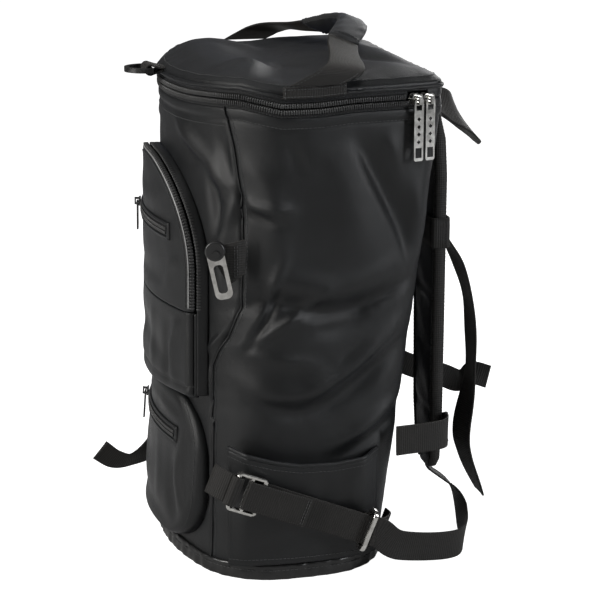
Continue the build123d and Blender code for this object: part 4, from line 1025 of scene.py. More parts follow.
# ---- carrying handle, its tabs and the D-ring's tab ----------------------------------------------
HANDLE_Y = 17.0
FOOT_Z = 411.0
LEAN = radians(64.0)         # how far the handle's arch leans back
GRIP_TURN = radians(22.0)    # how far its webbing has turned at the grip
FOOT_X = 140 + 2.5 + 1.8 * 1.5 + 0.35


def rim_x(y):
    """x of the rim's right side at y."""
    return RIM["width"] / 2 - SIDE_RADIUS + sqrt(SIDE_RADIUS**2 - (y - RIM["shift"]) ** 2)


def handle_spot(x, reach):
    return x, HANDLE_Y + reach * sin(LEAN), FOOT_Z + reach * cos(LEAN)


def make_handle_tabs():
    b = started("webbing_black")
    for m in (1, -1):
        lines = []
        for z in (403.6, 404.4, 406.0, 407.8, 409.6, 411.3, 412.4):
            lo, hi = -9.5 + 1.5 * (z > 404), 43.0 - 1.5 * (z > 404)
            row = []
            for y in np.linspace(lo, hi, 30) if m > 0 else np.linspace(hi, lo, 30):
                x = rim_x(y) + 2.5 + 1.8 + 0.15 * sin(y / 5.0)
                row.append((m * x, y, z + float(rim_wave(np.array(140.0), np.array(y)))))
            lines.append(row)
        P = np.array(lines)
        weave = np.stack([P[..., 1], P[..., 2], P[..., 0] * 0], 2)
        sheet_shell(b, P, 1.7, weave=weave)
        for row, lift in ((1, 0.6), (5, -0.7)):
            stitches(b, P[row] + [0, 0, lift], (m, 0, 0), 2.6, 0.3)
        for column in (1, -2):
            stitches(b, P[:, column], (m, 0, 0), 2.6, 0.3)
    b.make("handle_tabs", "lid", "webbing_black", ["handle_anchors"])


def make_handle_strap():
    leg = [(FOOT_X, 0.0), (FOOT_X + 0.6, 10.0), (FOOT_X, 20.0), (FOOT_X - 8, 28.0),
           (FOOT_X - 24, 33.0), (97.0, 38.0), (72.0, 43.5), (51.5, 49.5)]
    path = smooth([handle_spot(*p) for p in leg], 8)
    t = np.linspace(0, 1, len(path))
    turn = GRIP_TURN * t
    ways = np.column_stack([t * 0, np.cos(turn), -np.sin(turn)])
    widths = 40.0 - 14.0 * np.minimum(1.0, t * 1.5)
    b = started("webbing_black")
    for m in (1, -1):
        P = path * [m, 1, 1]
        T = ribbon(b, P, ways * m, widths, 1.8, curl=0.5, square=False, ripple=0.2, seed=m)[1]
        N = np.cross(T, unit(ways * m))
        for side in (0.42, -0.42):
            for face in (1, -1):
                line = P + ways * (widths * side)[:, None] + N * face * 1.0
                stitches(b, line[1:18], N[1:18] * face, 2.8, 0.28)
    b.make("handle_strap", "carry_handle", "webbing_black", ["handle_webbing"])


def make_handle_wrap():
    """A folded sleeve round the webbing, flat on its faces, closed along its lower edge."""
    sides, half_w, half_t = 36, 13.6, 4.9
    xs = np.linspace(-50, 50, 61)
    reach = 50.0 + 20.5 * np.maximum(np.cos(pi * xs / 100.0), 0) ** 1.2
    line = smooth([handle_spot(x, r) for x, r in zip(xs, reach)], 1)
    way = np.array([0, cos(GRIP_TURN), -sin(GRIP_TURN)])
    T = unit(np.gradient(line, axis=0))
    U = unit(np.cross(T, way))
    rings = []
    for i, (p, u) in enumerate(zip(line, U)):
        end = min(i, len(line) - 1 - i)
        swell = 0.72 + 0.28 * step01(end / 3.0)
        ring = []
        for a in np.linspace(0, 2 * pi, sides, endpoint=False):
            c, s = cos(a), sin(a)
            w = half_w * np.sign(c) * abs(c) ** 0.42
            h = half_t * swell * np.sign(s) * abs(s) ** 0.75 * (1 - 0.42 * (abs(w) / half_w) ** 3)
            h += 0.22 * sin(i * 0.8 + w * 0.35) + 0.18 * sin(i * 0.37 - w * 0.2)
            ring.append(p + way * w + u * h)
        rings.append(ring)
    rings = np.array(rings)
    s = along(line)
    around = np.tile(np.linspace(0, 74, sides), len(line))
    weave = np.stack([np.repeat(s, sides), around, np.zeros(sides * len(line))], 1)
    b = started("fabric_grip")
    tube_rings(b, rings[:, ::-1], True, weave)
    for k in (3, 33, 15, 21):
        out = unit(rings[:, k] - line - way * ((rings[:, k] - line) @ way)[:, None])
        stitches(b, rings[2:-2, k], out[2:-2], 3.0, 0.3)
    for i in (2, -3):
        stitches(b, rings[i, 2:17], U[i], 3.0, 0.3)
        stitches(b, rings[i, 19:35], -U[i], 3.0, 0.3)
    grip = b.make("handle_wrap", "carry_handle", "fabric_grip", ["handle_grip"])


def make_dring_loop():
    bar_y, bar_z = -91.5, 407.5
    r = 2.0 * sqrt(2) + 0.35 + 0.9
    pts = [(0, -78.8, bar_z - 1.2), (0, -83, bar_z - 1.5), (0, bar_y + 2.6, bar_z - r * 0.8)]
    pts += [(0, bar_y + r * cos(a), bar_z + r * sin(a)) for a in np.radians([-90, -130, 180, 130, 90])]
    pts += [(0, bar_y + 2.6, bar_z + r * 0.8), (0, -83, bar_z + 1.5), (0, -78.8, bar_z + 1.2)]
    b = started("webbing_black")
    ribbon(b, smooth(pts, 5), (1, 0, 0), 25.0, 1.6, ripple=0.05)
    for y in (-83.4, -81.4):
        stitches(b, [(-11, y, bar_z + 2.35), (0, y, bar_z + 2.4), (11, y, bar_z + 2.35)], (0, 0, 1), 2.4, 0.28)
    b.make("dring_loop", "lid", "webbing_black", ["dring_tab"])


# ---- front pockets -------------------------------------------------------------------------------
ARCH_HALF, ARCH_TOP, ARCH_CORNER = 96.0, 341.0, 86.0
UPPER_DEPTH = 15.0
FACE_ZIP_Z, LOWER_ZIP_Z = 284.0, 110.0
ARCH_Z = ARCH_TOP - ARCH_CORNER
ARCH_X = ARCH_HALF - ARCH_CORNER


def arch_half(z, inset=0.0):
    """Half the upper pocket's width at a height."""
    r = ARCH_CORNER - inset
    if z <= ARCH_Z:
        return ARCH_HALF - inset
    return ARCH_X + sqrt(max(r * r - (z - ARCH_Z) ** 2, 0.0))


def arch_inset(x, z):
    """How far inside the arch a point is."""
    straight = ARCH_HALF - np.abs(x)
    radial = ARCH_CORNER - np.hypot(np.maximum(np.abs(x) - ARCH_X, 0), z - ARCH_Z)
    return np.where(z > ARCH_Z, radial, straight)


def arch_line(z_from, grow=0.0, step=2.0, left_from=None):
    """The arch's line, up the right side, over the top and down the left: points (x, z) and outward ways."""
    left_from = z_from if left_from is None else left_from
    pts, outs = [], []
    r = ARCH_CORNER + grow
    for z in np.arange(z_from, ARCH_Z, step):
        pts.append((ARCH_HALF + grow, z)); outs.append((1, 0))
    for a in np.linspace(0, pi / 2, 56):
        pts.append((ARCH_X + r * cos(a), ARCH_Z + r * sin(a))); outs.append((cos(a), sin(a)))
    for a in np.linspace(pi / 2, pi, 56):
        pts.append((-ARCH_X + r * cos(a), ARCH_Z + r * sin(a))); outs.append((cos(a), sin(a)))
    for z in np.arange(ARCH_Z - step, left_from, -step):
        pts.append((-ARCH_HALF - grow, z)); outs.append((-1, 0))
    return np.array(pts), np.array(outs)


def on_front(x, z, out):
    """Points standing off the body's front, at x and z."""
    shape = np.broadcast(x, z, out)
    x, z, out = (np.broadcast_to(np.asarray(q, float), shape.shape) for q in (x, z, out))
    flat = [(a, front_y(a, c, d), c) for a, c, d in zip(x.ravel(), z.ravel(), out.ravel())]
    return np.array(flat).reshape(*shape.shape, 3)


def arch_band(out0, out1, z_from, rows=5):
    """A strip that follows the arch between two depths, columns anticlockwise seen from outside it."""
    pts, _ = arch_line(z_from)
    return np.array([on_front(pts[:, 0], pts[:, 1], out0 + (out1 - out0) * f) for f in np.linspace(0, 1, rows)])


POCKET_FOLDS = (
    (((-70, 168), (-40, 186), (0, 190), (40, 180), (72, 166)), 12.0, -2.4, 0.2),
    (((84, 214), (74, 196), (70, 172), (76, 158)), 6.0, 2.4, 0.0),
    (((66, 210), (58, 186), (60, 160)), 6.0, -1.9, 0.0),
    (((-84, 212), (-70, 190), (-66, 162)), 7.0, 2.0, 0.0),
    (((30, 214), (22, 186), (28, 158)), 8.0, 1.6, 0.0),
    (((-24, 208), (-16, 184), (-22, 158)), 8.0, 1.4, 0.0),
)
FLAP_FOLDS = (
    (((-60, 246), (-20, 240), (30, 244), (66, 252)), 10.0, -1.4, 0.0),
    (((50, 316), (30, 306), (0, 304), (-36, 312)), 9.0, 1.2, 0.0),
    (((84, 262), (70, 256), (56, 240)), 6.0, 1.4, 0.0),
)


def face_patch(zs, half, depth, columns=90):
    """A pocket's face: rows at heights zs, half their half widths, depth(x, z) how far it stands off."""
    u = np.sin(np.linspace(-1, 1, columns) * pi / 2)
    X = np.array([half(z) * (0.35 * u + 0.65 * np.linspace(-1, 1, columns)) for z in zs])
    Z = np.repeat(np.asarray(zs, float)[:, None], columns, 1)
    P = on_front(X, Z, depth(X, Z))
    return P, np.stack([X, Z, np.zeros_like(X)], 2)


def make_upper_pocket():
    edge = 5.0

    def round_off(d, drop):
        q = np.clip(1 - d / edge, 0, 1)
        return drop * (1 - np.sqrt(np.maximum(1 - q * q, 0)))

    # the flap, above its fold line
    zs = np.concatenate([[223.2, 224.4, 226.0], np.linspace(228.5, 330, 52),
                         [333, 335.6, 337.6, 339.2, 340.2, 340.8]])

    def flap_depth(X, Z):
        d = arch_inset(X, Z)
        soft = (field(FLAP_FOLDS, X, Z) + 0.5 * drift(X, Z, 5.0)) * step01((d - 3) / 14.0) * step01((Z - 226) / 14.0)
        welt = step01((9.0 - np.abs(Z - FACE_ZIP_Z)) / 3.0) * step01((72 - np.abs(X)) / 4.0)
        return UPPER_DEPTH - 0.2 - round_off(d, 4.0) + soft * (1 - welt)
    P, weave = face_patch(zs, lambda z: arch_half(z, 0.1), flap_depth)
    b = started("fabric_black")
    sheet_shell(b, P, POCKET_CLOTH, weave=weave)
    band = arch_band(10.7, UPPER_DEPTH - 2.8, 223.6)
    sheet_shell(b, band[::-1], 1.4)
    pts, _ = arch_line(226.0, -4.0)
    line = on_front(pts[:, 0], pts[:, 1], flap_depth(pts[:, 0], pts[:, 1]) + 0.1)
    stitches(b, line, (0, -1, 0), 3.2, 0.26)
    pts, _ = arch_line(226.0, -1.2)
    line = on_front(pts[:, 0], pts[:, 1], flap_depth(pts[:, 0], pts[:, 1]) + 0.5)
    cord_line(b, line, 0.75, 7, material=REFLECTIVE)
    b.make("flap_cloth", "flap", "fabric_black", ["pocket_flap"])

    # the fixed face below the fold line, which hangs over the pocket beneath it
    zs = np.concatenate([[150.6, 151.0, 152.0, 153.4, 155.5], np.linspace(158, 217, 32), [219.2, 220.8, 222.0]])

    def low_depth(X, Z):
        d = arch_inset(X, Z)
        soft = field(POCKET_FOLDS, X, Z) + 0.6 * drift(X, Z, 7.0)
        soft = soft * step01((d - 3) / 12.0) * step01((220 - Z) / 12.0)
        hem = 3.2 * (1 - step01((Z - 150.4) / 3.2)) + 0.8 * np.exp(-(((Z - 160.0) / 1.6) ** 2))
        return UPPER_DEPTH - 0.2 - round_off(d, 6.0) + soft - hem
    P, weave = face_patch(zs, lambda z: ARCH_HALF - 0.1, low_depth)
    P[..., 2] -= 4.0 * np.cos(np.clip(P[..., 0] / 96.0, -1, 1) * pi / 2) ** 2 * step01((175 - P[..., 2]) / 24.0)
    b = started("fabric_black")
    sheet_shell(b, P, POCKET_CLOTH, weave=weave)
    for m in (1, -1):
        zz = np.linspace(152.5, 221.5, 30)
        lines = [on_front(np.full(30, m * 95.9), zz, d) for d in (7.6, 9.0, 10.2)]
        band = np.array(lines) if m > 0 else np.array(lines)[:, ::-1]
        sheet_shell(b, band[::-1], 1.4)
    stitches(b, P[6], (0, -1, 0), 3.2, 0.27)
    b.make("pocket_front_cloth", "bag", "fabric_black", ["pocket_front_lower"])

    # the gusset, with soft pleats across it and a rolled foot
    pts, ways = arch_line(152.5)
    ways3 = np.column_stack([ways[:, 0], np.zeros(len(ways)), ways[:, 1]])
    s = along(pts)
    lines = []
    for f in np.linspace(0, 1, 7):
        lift = 0.7 * sin(pi * f) + 0.35 * np.sin(s / 9.0 + 2 * f) * sin(pi * f) - 0.15
        q = pts + ways * (np.minimum(lift, 0.9) * (1 - f) ** 1.5 - 0.1 * f)[:, None]
        lines.append(on_front(q[:, 0], q[:, 1], 0.0 + 8.4 * f))
    b = started("fabric_black")
    sheet_shell(b, np.array(lines)[::-1], 1.6)
    stitches(b, lines[1] + ways3 * 0.3, ways3, 3.2, 0.26)
    foot = np.array([on_front(np.linspace(-94, 94, 60), np.full(60, 152.6), d) for d in (0.5, 4.0, 8.0)])
    sheet_shell(b, foot[:, ::-1], 1.4)
    b.make("pocket_gusset_cloth", "bag", "fabric_black", ["pocket_gusset"])

    # the two halves of its zipper
    for name, depth, sign, body, node, left in (("rear", 8.5, -1, "bag", "pocket_zip_rear", None),
                                                ("front", 10.5, 1, "flap", "pocket_zip_front", 237.6)):
        pts, ways = arch_line(224.0, 0.0, 2.0, left)
        ways3 = np.column_stack([ways[:, 0], np.zeros(len(ways)), ways[:, 1]])
        line = on_front(pts[:, 0], pts[:, 1], depth)
        line2 = on_front(pts[:, 0], pts[:, 1], depth + 1.0)
        b = started("zipper_black")
        near = -0.35 * sign
        teeth(b, line + ways3 * 0.1, line2 - line, ways3, near, sign * 3.7, 1.75, 2.5, 0.0 if sign < 0 else 0.5)
        b.make(f"pocket_chain_{name}", body, "zipper_black", [node])


def small_zipper(name, z, depth, body, node):
    """A short zipper sewn on a pocket's face: tape between two sewn lips, and a coil in two halves."""
    half = 66.0
    xs = np.linspace(-half, half, 80)

    def on(zz, out):
        return on_front(xs, np.full(80, zz), depth(zz) + out)
    b = started("zipper_black")
    tape = np.array([on(z + dz, 0.75 + 0.1 * sin(dz)) for dz in np.linspace(-5.6, 5.6, 7)])
    sheet_shell(b, tape, 0.6, material=TAPE)
    out = on(z, 5.0) - on(z, 0.0)
    for sign in (1, -1):
        teeth(b, on(z, 0.8), (0, 0, 1), out, sign * 0.4, sign * 3.0, 1.7, 1.6, 0.25 * (1 + sign))
        roll = ((0.0, 0.15), (0.5, 0.75), (1.4, 0.8), (2.2, 0.35), (2.8, -0.3))
        lip = [on(z + sign * (4.4 + w), 0.9 + h) for w, h in roll]
        lip = np.array(lip if sign > 0 else lip[::-1])
        sheet_shell(b, lip, 0.5, material=MATERIALS["fabric_black"])
        stitches(b, on(z + sign * 6.4, 1.1), out, 3.0, 0.24)
    for m in (1, -1):
        end = [on_front(np.full(9, m * (half + w)), np.linspace(z - 7, z + 7, 9), depth(z) + h)
               for w, h in ((-1.6, 0.9), (-0.8, 1.6), (1.0, 1.5), (2.4, 0.2))]
        end = np.array(end)[:, ::-1] if m > 0 else np.array(end)
        sheet_shell(b, end, 0.5, material=MATERIALS["fabric_black"])
    b.make(name, body, "zipper_black", [node])


LOWER_LOW, LOWER_TOP, LOWER_HALF, LOWER_CORNER = 17.0, 146.0, 98.0, 50.0


def lower_half_width(z):
    mid = (LOWER_LOW + LOWER_TOP) / 2
    d = abs(z - mid) - ((LOWER_TOP - LOWER_LOW) / 2 - LOWER_CORNER)
    if d <= 0:
        return LOWER_HALF
    return LOWER_HALF - LOWER_CORNER + sqrt(max(LOWER_CORNER**2 - d * d, 0))


LOWER_FOLDS = (
    (((92, 40), (80, 58), (74, 84), (80, 110)), 7.0, 3.6, 0.3),
    (((74, 34), (60, 60), (58, 90)), 8.0, -2.8, 0.0),
    (((60, 26), (20, 34), (-30, 30), (-70, 36)), 9.0, -2.4, 0.0),
    (((-88, 44), (-74, 66), (-76, 100)), 8.0, 2.6, 0.0),
    (((30, 40), (34, 66), (24, 92)), 9.0, 1.8, 0.0),
    (((-40, 44), (-30, 70), (-36, 94)), 9.0, 1.6, 0.0),
    (((84, 130), (60, 126), (20, 132), (-40, 128)), 7.0, 1.6, 0.0),
)


def make_lower_pocket():
    def depth_at(z):
        return 15.0 - 8.0 * (z - LOWER_LOW) / (LOWER_TOP - LOWER_LOW)

    def depth(X, Z):
        r = LOWER_CORNER
        mid = (LOWER_LOW + LOWER_TOP) / 2
        qx = np.maximum(np.abs(X) - (LOWER_HALF - r), 0)
        qz = np.maximum(np.abs(Z - mid) - ((LOWER_TOP - LOWER_LOW) / 2 - r), 0)
        inset = r - np.hypot(qx, qz)
        straight = np.minimum(LOWER_HALF - np.abs(X), (LOWER_TOP - LOWER_LOW) / 2 - np.abs(Z - mid))
        inset = np.where((qx == 0) | (qz == 0), straight, inset)
        q = np.clip(1 - inset / 9.0, 0, 1)
        full = depth_at(Z)
        soft = (field(LOWER_FOLDS, X, Z) + 0.6 * drift(X, Z, 9.0)) * step01((inset - 4) / 14.0)
        welt = step01((10.0 - np.abs(Z - LOWER_ZIP_Z)) / 3.0) * step01((72 - np.abs(X)) / 4.0)
        return 0.6 + (full - 0.8) * np.sqrt(np.maximum(1 - q ** 2.4, 0)) + soft * (1 - welt)
    zs = np.concatenate([[17.3, 18.0, 19.2, 21.0], np.linspace(23.5, 139, 58), [141.4, 143.2, 144.6, 145.5]])
    P, weave = face_patch(zs, lower_half_width, depth, 96)
    b = started("fabric_black")
    sheet_shell(b, P, 1.6, weave=weave)
    stitches(b, P[5:-4, -4], (0.6, -0.8, 0), 3.2, 0.26)
    stitches(b, P[5:-4, 3], (-0.6, -0.8, 0), 3.2, 0.26)
    stitches(b, P[4, 6:-6], (0, -0.8, -0.6), 3.2, 0.26)
    b.make("lower_pocket_cloth", "bag", "fabric_black", ["lower_pocket"])
    small_zipper("lower_zip_chain", LOWER_ZIP_Z, lambda z: depth_at(z) - 0.2, "bag", "lower_zip")


# ---- side pockets --------------------------------------------------------------------------------
def make_side_pockets():
    y0, y1, low, high = -52.0, 74.0, 15.0, 118.0
    rows = 36
    ys = np.linspace(y0, y1, 74)

    def mouth(y):
        """The hem's height: it sags in the middle and towards the back."""
        return float(np.interp(y, [-52, -36, -18, 4, 34, 60, 74], [116.5, 112.5, 107.0, 102.5, 101.5, 103.5, 106.5]))

    def out_at(y, z):
        share = (z - low) / (high - low)
        ends = step01((y - y0) / 15.0) ** 0.8 * step01((y1 - y) / 17.0) ** 0.8
        return 1.1 + (4.0 + 10.6 * share - 1.0) * ends

    folds = ((((-40, 90), (-20, 70), (10, 62), (50, 70)), 9.0, 1.6, 0.0),
             (((60, 100), (50, 80), (58, 50)), 7.0, 1.5, 0.2),
             (((-30, 30), (10, 38), (50, 30)), 9.0, -1.3, 0.0), (((-46, 100), (-34, 84), (-20, 78)), 5.0, -1.4, 0.0),
             (((20, 98), (26, 80), (20, 60)), 8.0, -1.2, 0.0))
    for name, m in (("right", 1), ("left", -1)):
        P = np.zeros((rows, len(ys), 3))
        W = np.zeros_like(P)
        for j, y in enumerate(ys):
            top = mouth(y if m > 0 else 22 - y)
            for i, f in enumerate(np.linspace(0, 1, rows)):
                z = low + (top - low) * f
                calm = step01((y - y0) / 14) * step01((y1 - y) / 14) * step01(f / 0.15) * step01((1 - f) / 0.1)
                a = np.array([[y if m > 0 else 24 - y]])
                c = np.array([[z]])
                push = float(field(folds, a, c)[0, 0]) + 0.45 * float(drift(a, c, 4.0 + m)[0, 0])
                P[i, j] = (m * side_x(y, z, out_at(y, z) + push * calm), y, z)
                W[i, j] = (y, z, 0)
        if m < 0:
            P, W = P[:, ::-1], W[:, ::-1]
        b = started("fabric_black")
        sheet_shell(b, P, 1.7, weave=W)
        edge = P[-1] + np.array([0, 0, 0.6]) - normals(P)[-1] * 0.8
        cord_line(b, edge, 2.0, 10, flat=0.75)
        N = normals(P)
        stitches(b, P[-3], N[-3], 3.2, 0.28)
        stitches(b, P[2], N[2], 3.2, 0.28)
        b.make(f"side_pocket_cloth_{name}", "bag", "fabric_black", [f"side_pocket_{name}"])


# ---- side straps, their tabs and free ends -------------------------------------------------------
LOCK_AT, RING_AT, STAND = (-40.0, 84.0), (60.0, 44.0), 19.0
LINE_START = np.array([side_x(*LOCK_AT, STAND), *LOCK_AT])
LINE_END = np.array([side_x(*RING_AT, STAND), *RING_AT])
ALONG = (LINE_END - LINE_START) / np.linalg.norm(LINE_END - LINE_START)
ACROSS = np.array([0, -ALONG[2], ALONG[1]]) / np.hypot(ALONG[1], ALONG[2])
OUT = np.cross(ALONG, ACROSS)
RING_DISTANCE = float(np.hypot(RING_AT[0] - LOCK_AT[0], RING_AT[1] - LOCK_AT[1])) + 1.0
RING_INNER = -(8.0 + 4.2) / 2


def strap_spot(distance, out=0.0):
    return LINE_START + ALONG * distance + OUT * out


def flip(P, m):
    return np.asarray(P, float) * [m, 1, 1]


def bar_loop(centre, radius, start, end, count):
    """Points round a bar, from one angle to another, in the strap's plane."""
    turn = np.radians(np.linspace(start, end, count))
    return [strap_spot(centre[0] + radius * cos(a), centre[1] + radius * sin(a)) for a in turn]


def make_side_straps():
    bar = 27.0 / 2 - 2.0
    under = 4.5 / 2 + WEBBING / 2 + 0.4
    for name, m in (("right", 1), ("left", -1)):
        path = [strap_spot(2.0, -under), strap_spot(14.0, -under), strap_spot(20.0, -under), strap_spot(40.0, -1.6),
                strap_spot(RING_DISTANCE - 12.0), strap_spot(RING_DISTANCE + 2.2)]
        b = started("webbing_black")
        ribbon(b, flip(smooth(path, 8), m), ACROSS * m, STRAP, curl=0.25, seed=m)
        b.make(f"side_webbing_{name}", "bag", "webbing_black", [f"side_strap_{name}"])
    path = [strap_spot(-2.0, under), strap_spot(16.0, under), strap_spot(24.0, under), strap_spot(54.0, under - 0.4)]
    b = started("webbing_black")
    ribbon(b, smooth(path, 8), ACROSS, STRAP - 1.0, curl=0.3, ripple=0.15)
    for d in (50.0, 51.8):
        line = [strap_spot(d, under + 0.7) + ACROSS * v for v in (-11, 0, 11)]
        stitches(b, line, OUT, 2.6, 0.3)
    b.make("strap_end_right", "tail_right", "webbing_black", ["strap_tail_right"])

    x = -side_x(*LOCK_AT, STAND + 8.0)
    points = [(x, -36.0, 84.0), (x - 2, -46.0, 76.0), (x - 1, -58.0, 50.0), (x + 6, -74.0, 24.0),
              (x + 10, -96.0, 13.0), (x + 14, -112.0, 16.0), (x + 16, -126.0, 27.0)]
    ways = [(0, -0.5, 0.8), (0, -0.6, 0.75), (0.1, -0.8, 0.5), (0.3, -0.5, 0.8),
            (0.6, 0.1, 0.75), (0.3, 0.3, 0.9), (0, 0.45, 0.9)]
    b = started("webbing_black")
    ribbon(b, smooth(points, 9), smooth(ways, 9), STRAP - 4.0, curl=0.4, ripple=0.4)
    b.make("strap_end_left", "tail_left", "webbing_black", ["strap_tail_left"])

    b = started("webbing_black")
    for m in (1, -1):
        # round the lock's rear bar, then down to the seam
        r = 3.5 + WEBBING / 2
        loop = bar_loop((-bar, 0.0), r, -150, 185, 12)
        leg = [strap_spot(-bar - 17.0, 2.2 - STAND), strap_spot(-bar - 12.0, -9.5)]
        ribbon(b, flip(smooth([*leg, *loop], 3), m), ACROSS * m, STRAP - 0.5, 1.7, ripple=0.05)
        # from beside the back seam to the ring's inner bar, and round it
        r = 3.3 + WEBBING / 2
        loop = bar_loop((RING_DISTANCE, RING_INNER), r, -15, 340, 12)
        start = strap_spot(RING_DISTANCE, RING_INNER)
        leg = [(106.0, 83.5, start[2] - 9.0), (118.5, 84.0, start[2] - 8.6), start + ALONG * 5.4 + [-2.5, 7.5, -3.0]]
        ribbon(b, flip(smooth([*leg, *loop], 3), m), ACROSS * m, STRAP - 3.0, 1.7, ripple=0.05)
    b.make("strap_loops", "bag", "webbing_black", ["strap_tabs"])


# ---- shoulder straps -----------------------------------------------------------------------------
SWING_TOP = np.array([PAD_X, 136.0, 379.0])
SWING_FOOT = strap_spot(RING_DISTANCE + 8.0)
PAD_THICK = 12.0
# the pads' covers, in metres: their mesh, how far inside the CAD they start, the sewn edge, and the most they crown
PAD_VOXEL, PAD_INSET, PAD_SEWN, PAD_CROWN = 0.0032, 0.0012, 0.0022, 0.0022
PAD_FRAMES = 20


def relaxed_pad(node, name):
    """The pad's cover, let out under a little pressure so that it crowns between its sewn edges."""
    source = frame["nodes"][node]
    mesh = source.data.copy()
    mesh.name = name
    mesh.materials.clear()
    obj = bpy.data.objects.new(name, mesh)
    scene.collection.objects.link(obj)
    bpy.context.view_layer.objects.active = obj
    for other in bpy.context.selected_objects:
        other.select_set(False)
    obj.select_set(True)
    remesh = obj.modifiers.new("remesh", "REMESH")
    remesh.mode = "VOXEL"
    remesh.voxel_size = PAD_VOXEL
    bpy.ops.object.modifier_apply(modifier=remesh.name)
    mesh = obj.data
    co = np.array([v.co for v in mesh.vertices])
    normal = np.array([v.normal for v in mesh.vertices])
    co = co - normal * PAD_INSET
    mesh.vertices.foreach_set("co", co.ravel())
    mesh.update()
    rest = co.copy()
    pin = obj.vertex_groups.new(name="sewn")
    edge = np.abs(np.abs(rest[:, 0]) - PAD_X * MM)
    span = np.array([np.ptp(rest[np.abs(rest[:, 2] - z) < 0.005][:, 0]) / 2 for z in rest[:, 2]])
    held = (edge > span - PAD_SEWN) | (rest[:, 2] > 0.374) | (rest[:, 2] < 0.072)
    for i in np.nonzero(held)[0]:
        pin.add([int(i)], 1.0, "REPLACE")
    cloth = obj.modifiers.new("cloth", "CLOTH")
    settings = cloth.settings
    settings.quality = 5
    settings.use_pressure = True
    settings.uniform_pressure_force = 4.0
    settings.tension_stiffness = settings.compression_stiffness = 12.0
    settings.bending_stiffness = 0.4
    settings.vertex_group_mass = "sewn"
    settings.effector_weights.gravity = 0.0
    cloth.point_cache.frame_start, cloth.point_cache.frame_end = 1, PAD_FRAMES
    for number in range(1, PAD_FRAMES + 1):
        scene.frame_set(number)
    moved = np.empty(len(rest) * 3)
    evaluated = obj.evaluated_get(bpy.context.evaluated_depsgraph_get())
    evaluated.data.vertices.foreach_get("co", moved)
    obj.modifiers.remove(cloth)
    scene.frame_set(1)
    shift = moved.reshape(-1, 3) - rest
    far = np.linalg.norm(shift, axis=1, keepdims=True)
    shift *= np.minimum(1.0, PAD_CROWN / np.maximum(far, 1e-9))
    rest = rest + shift
    mesh.vertices.foreach_set("co", rest.ravel())
    mesh.update()
    return obj, rest


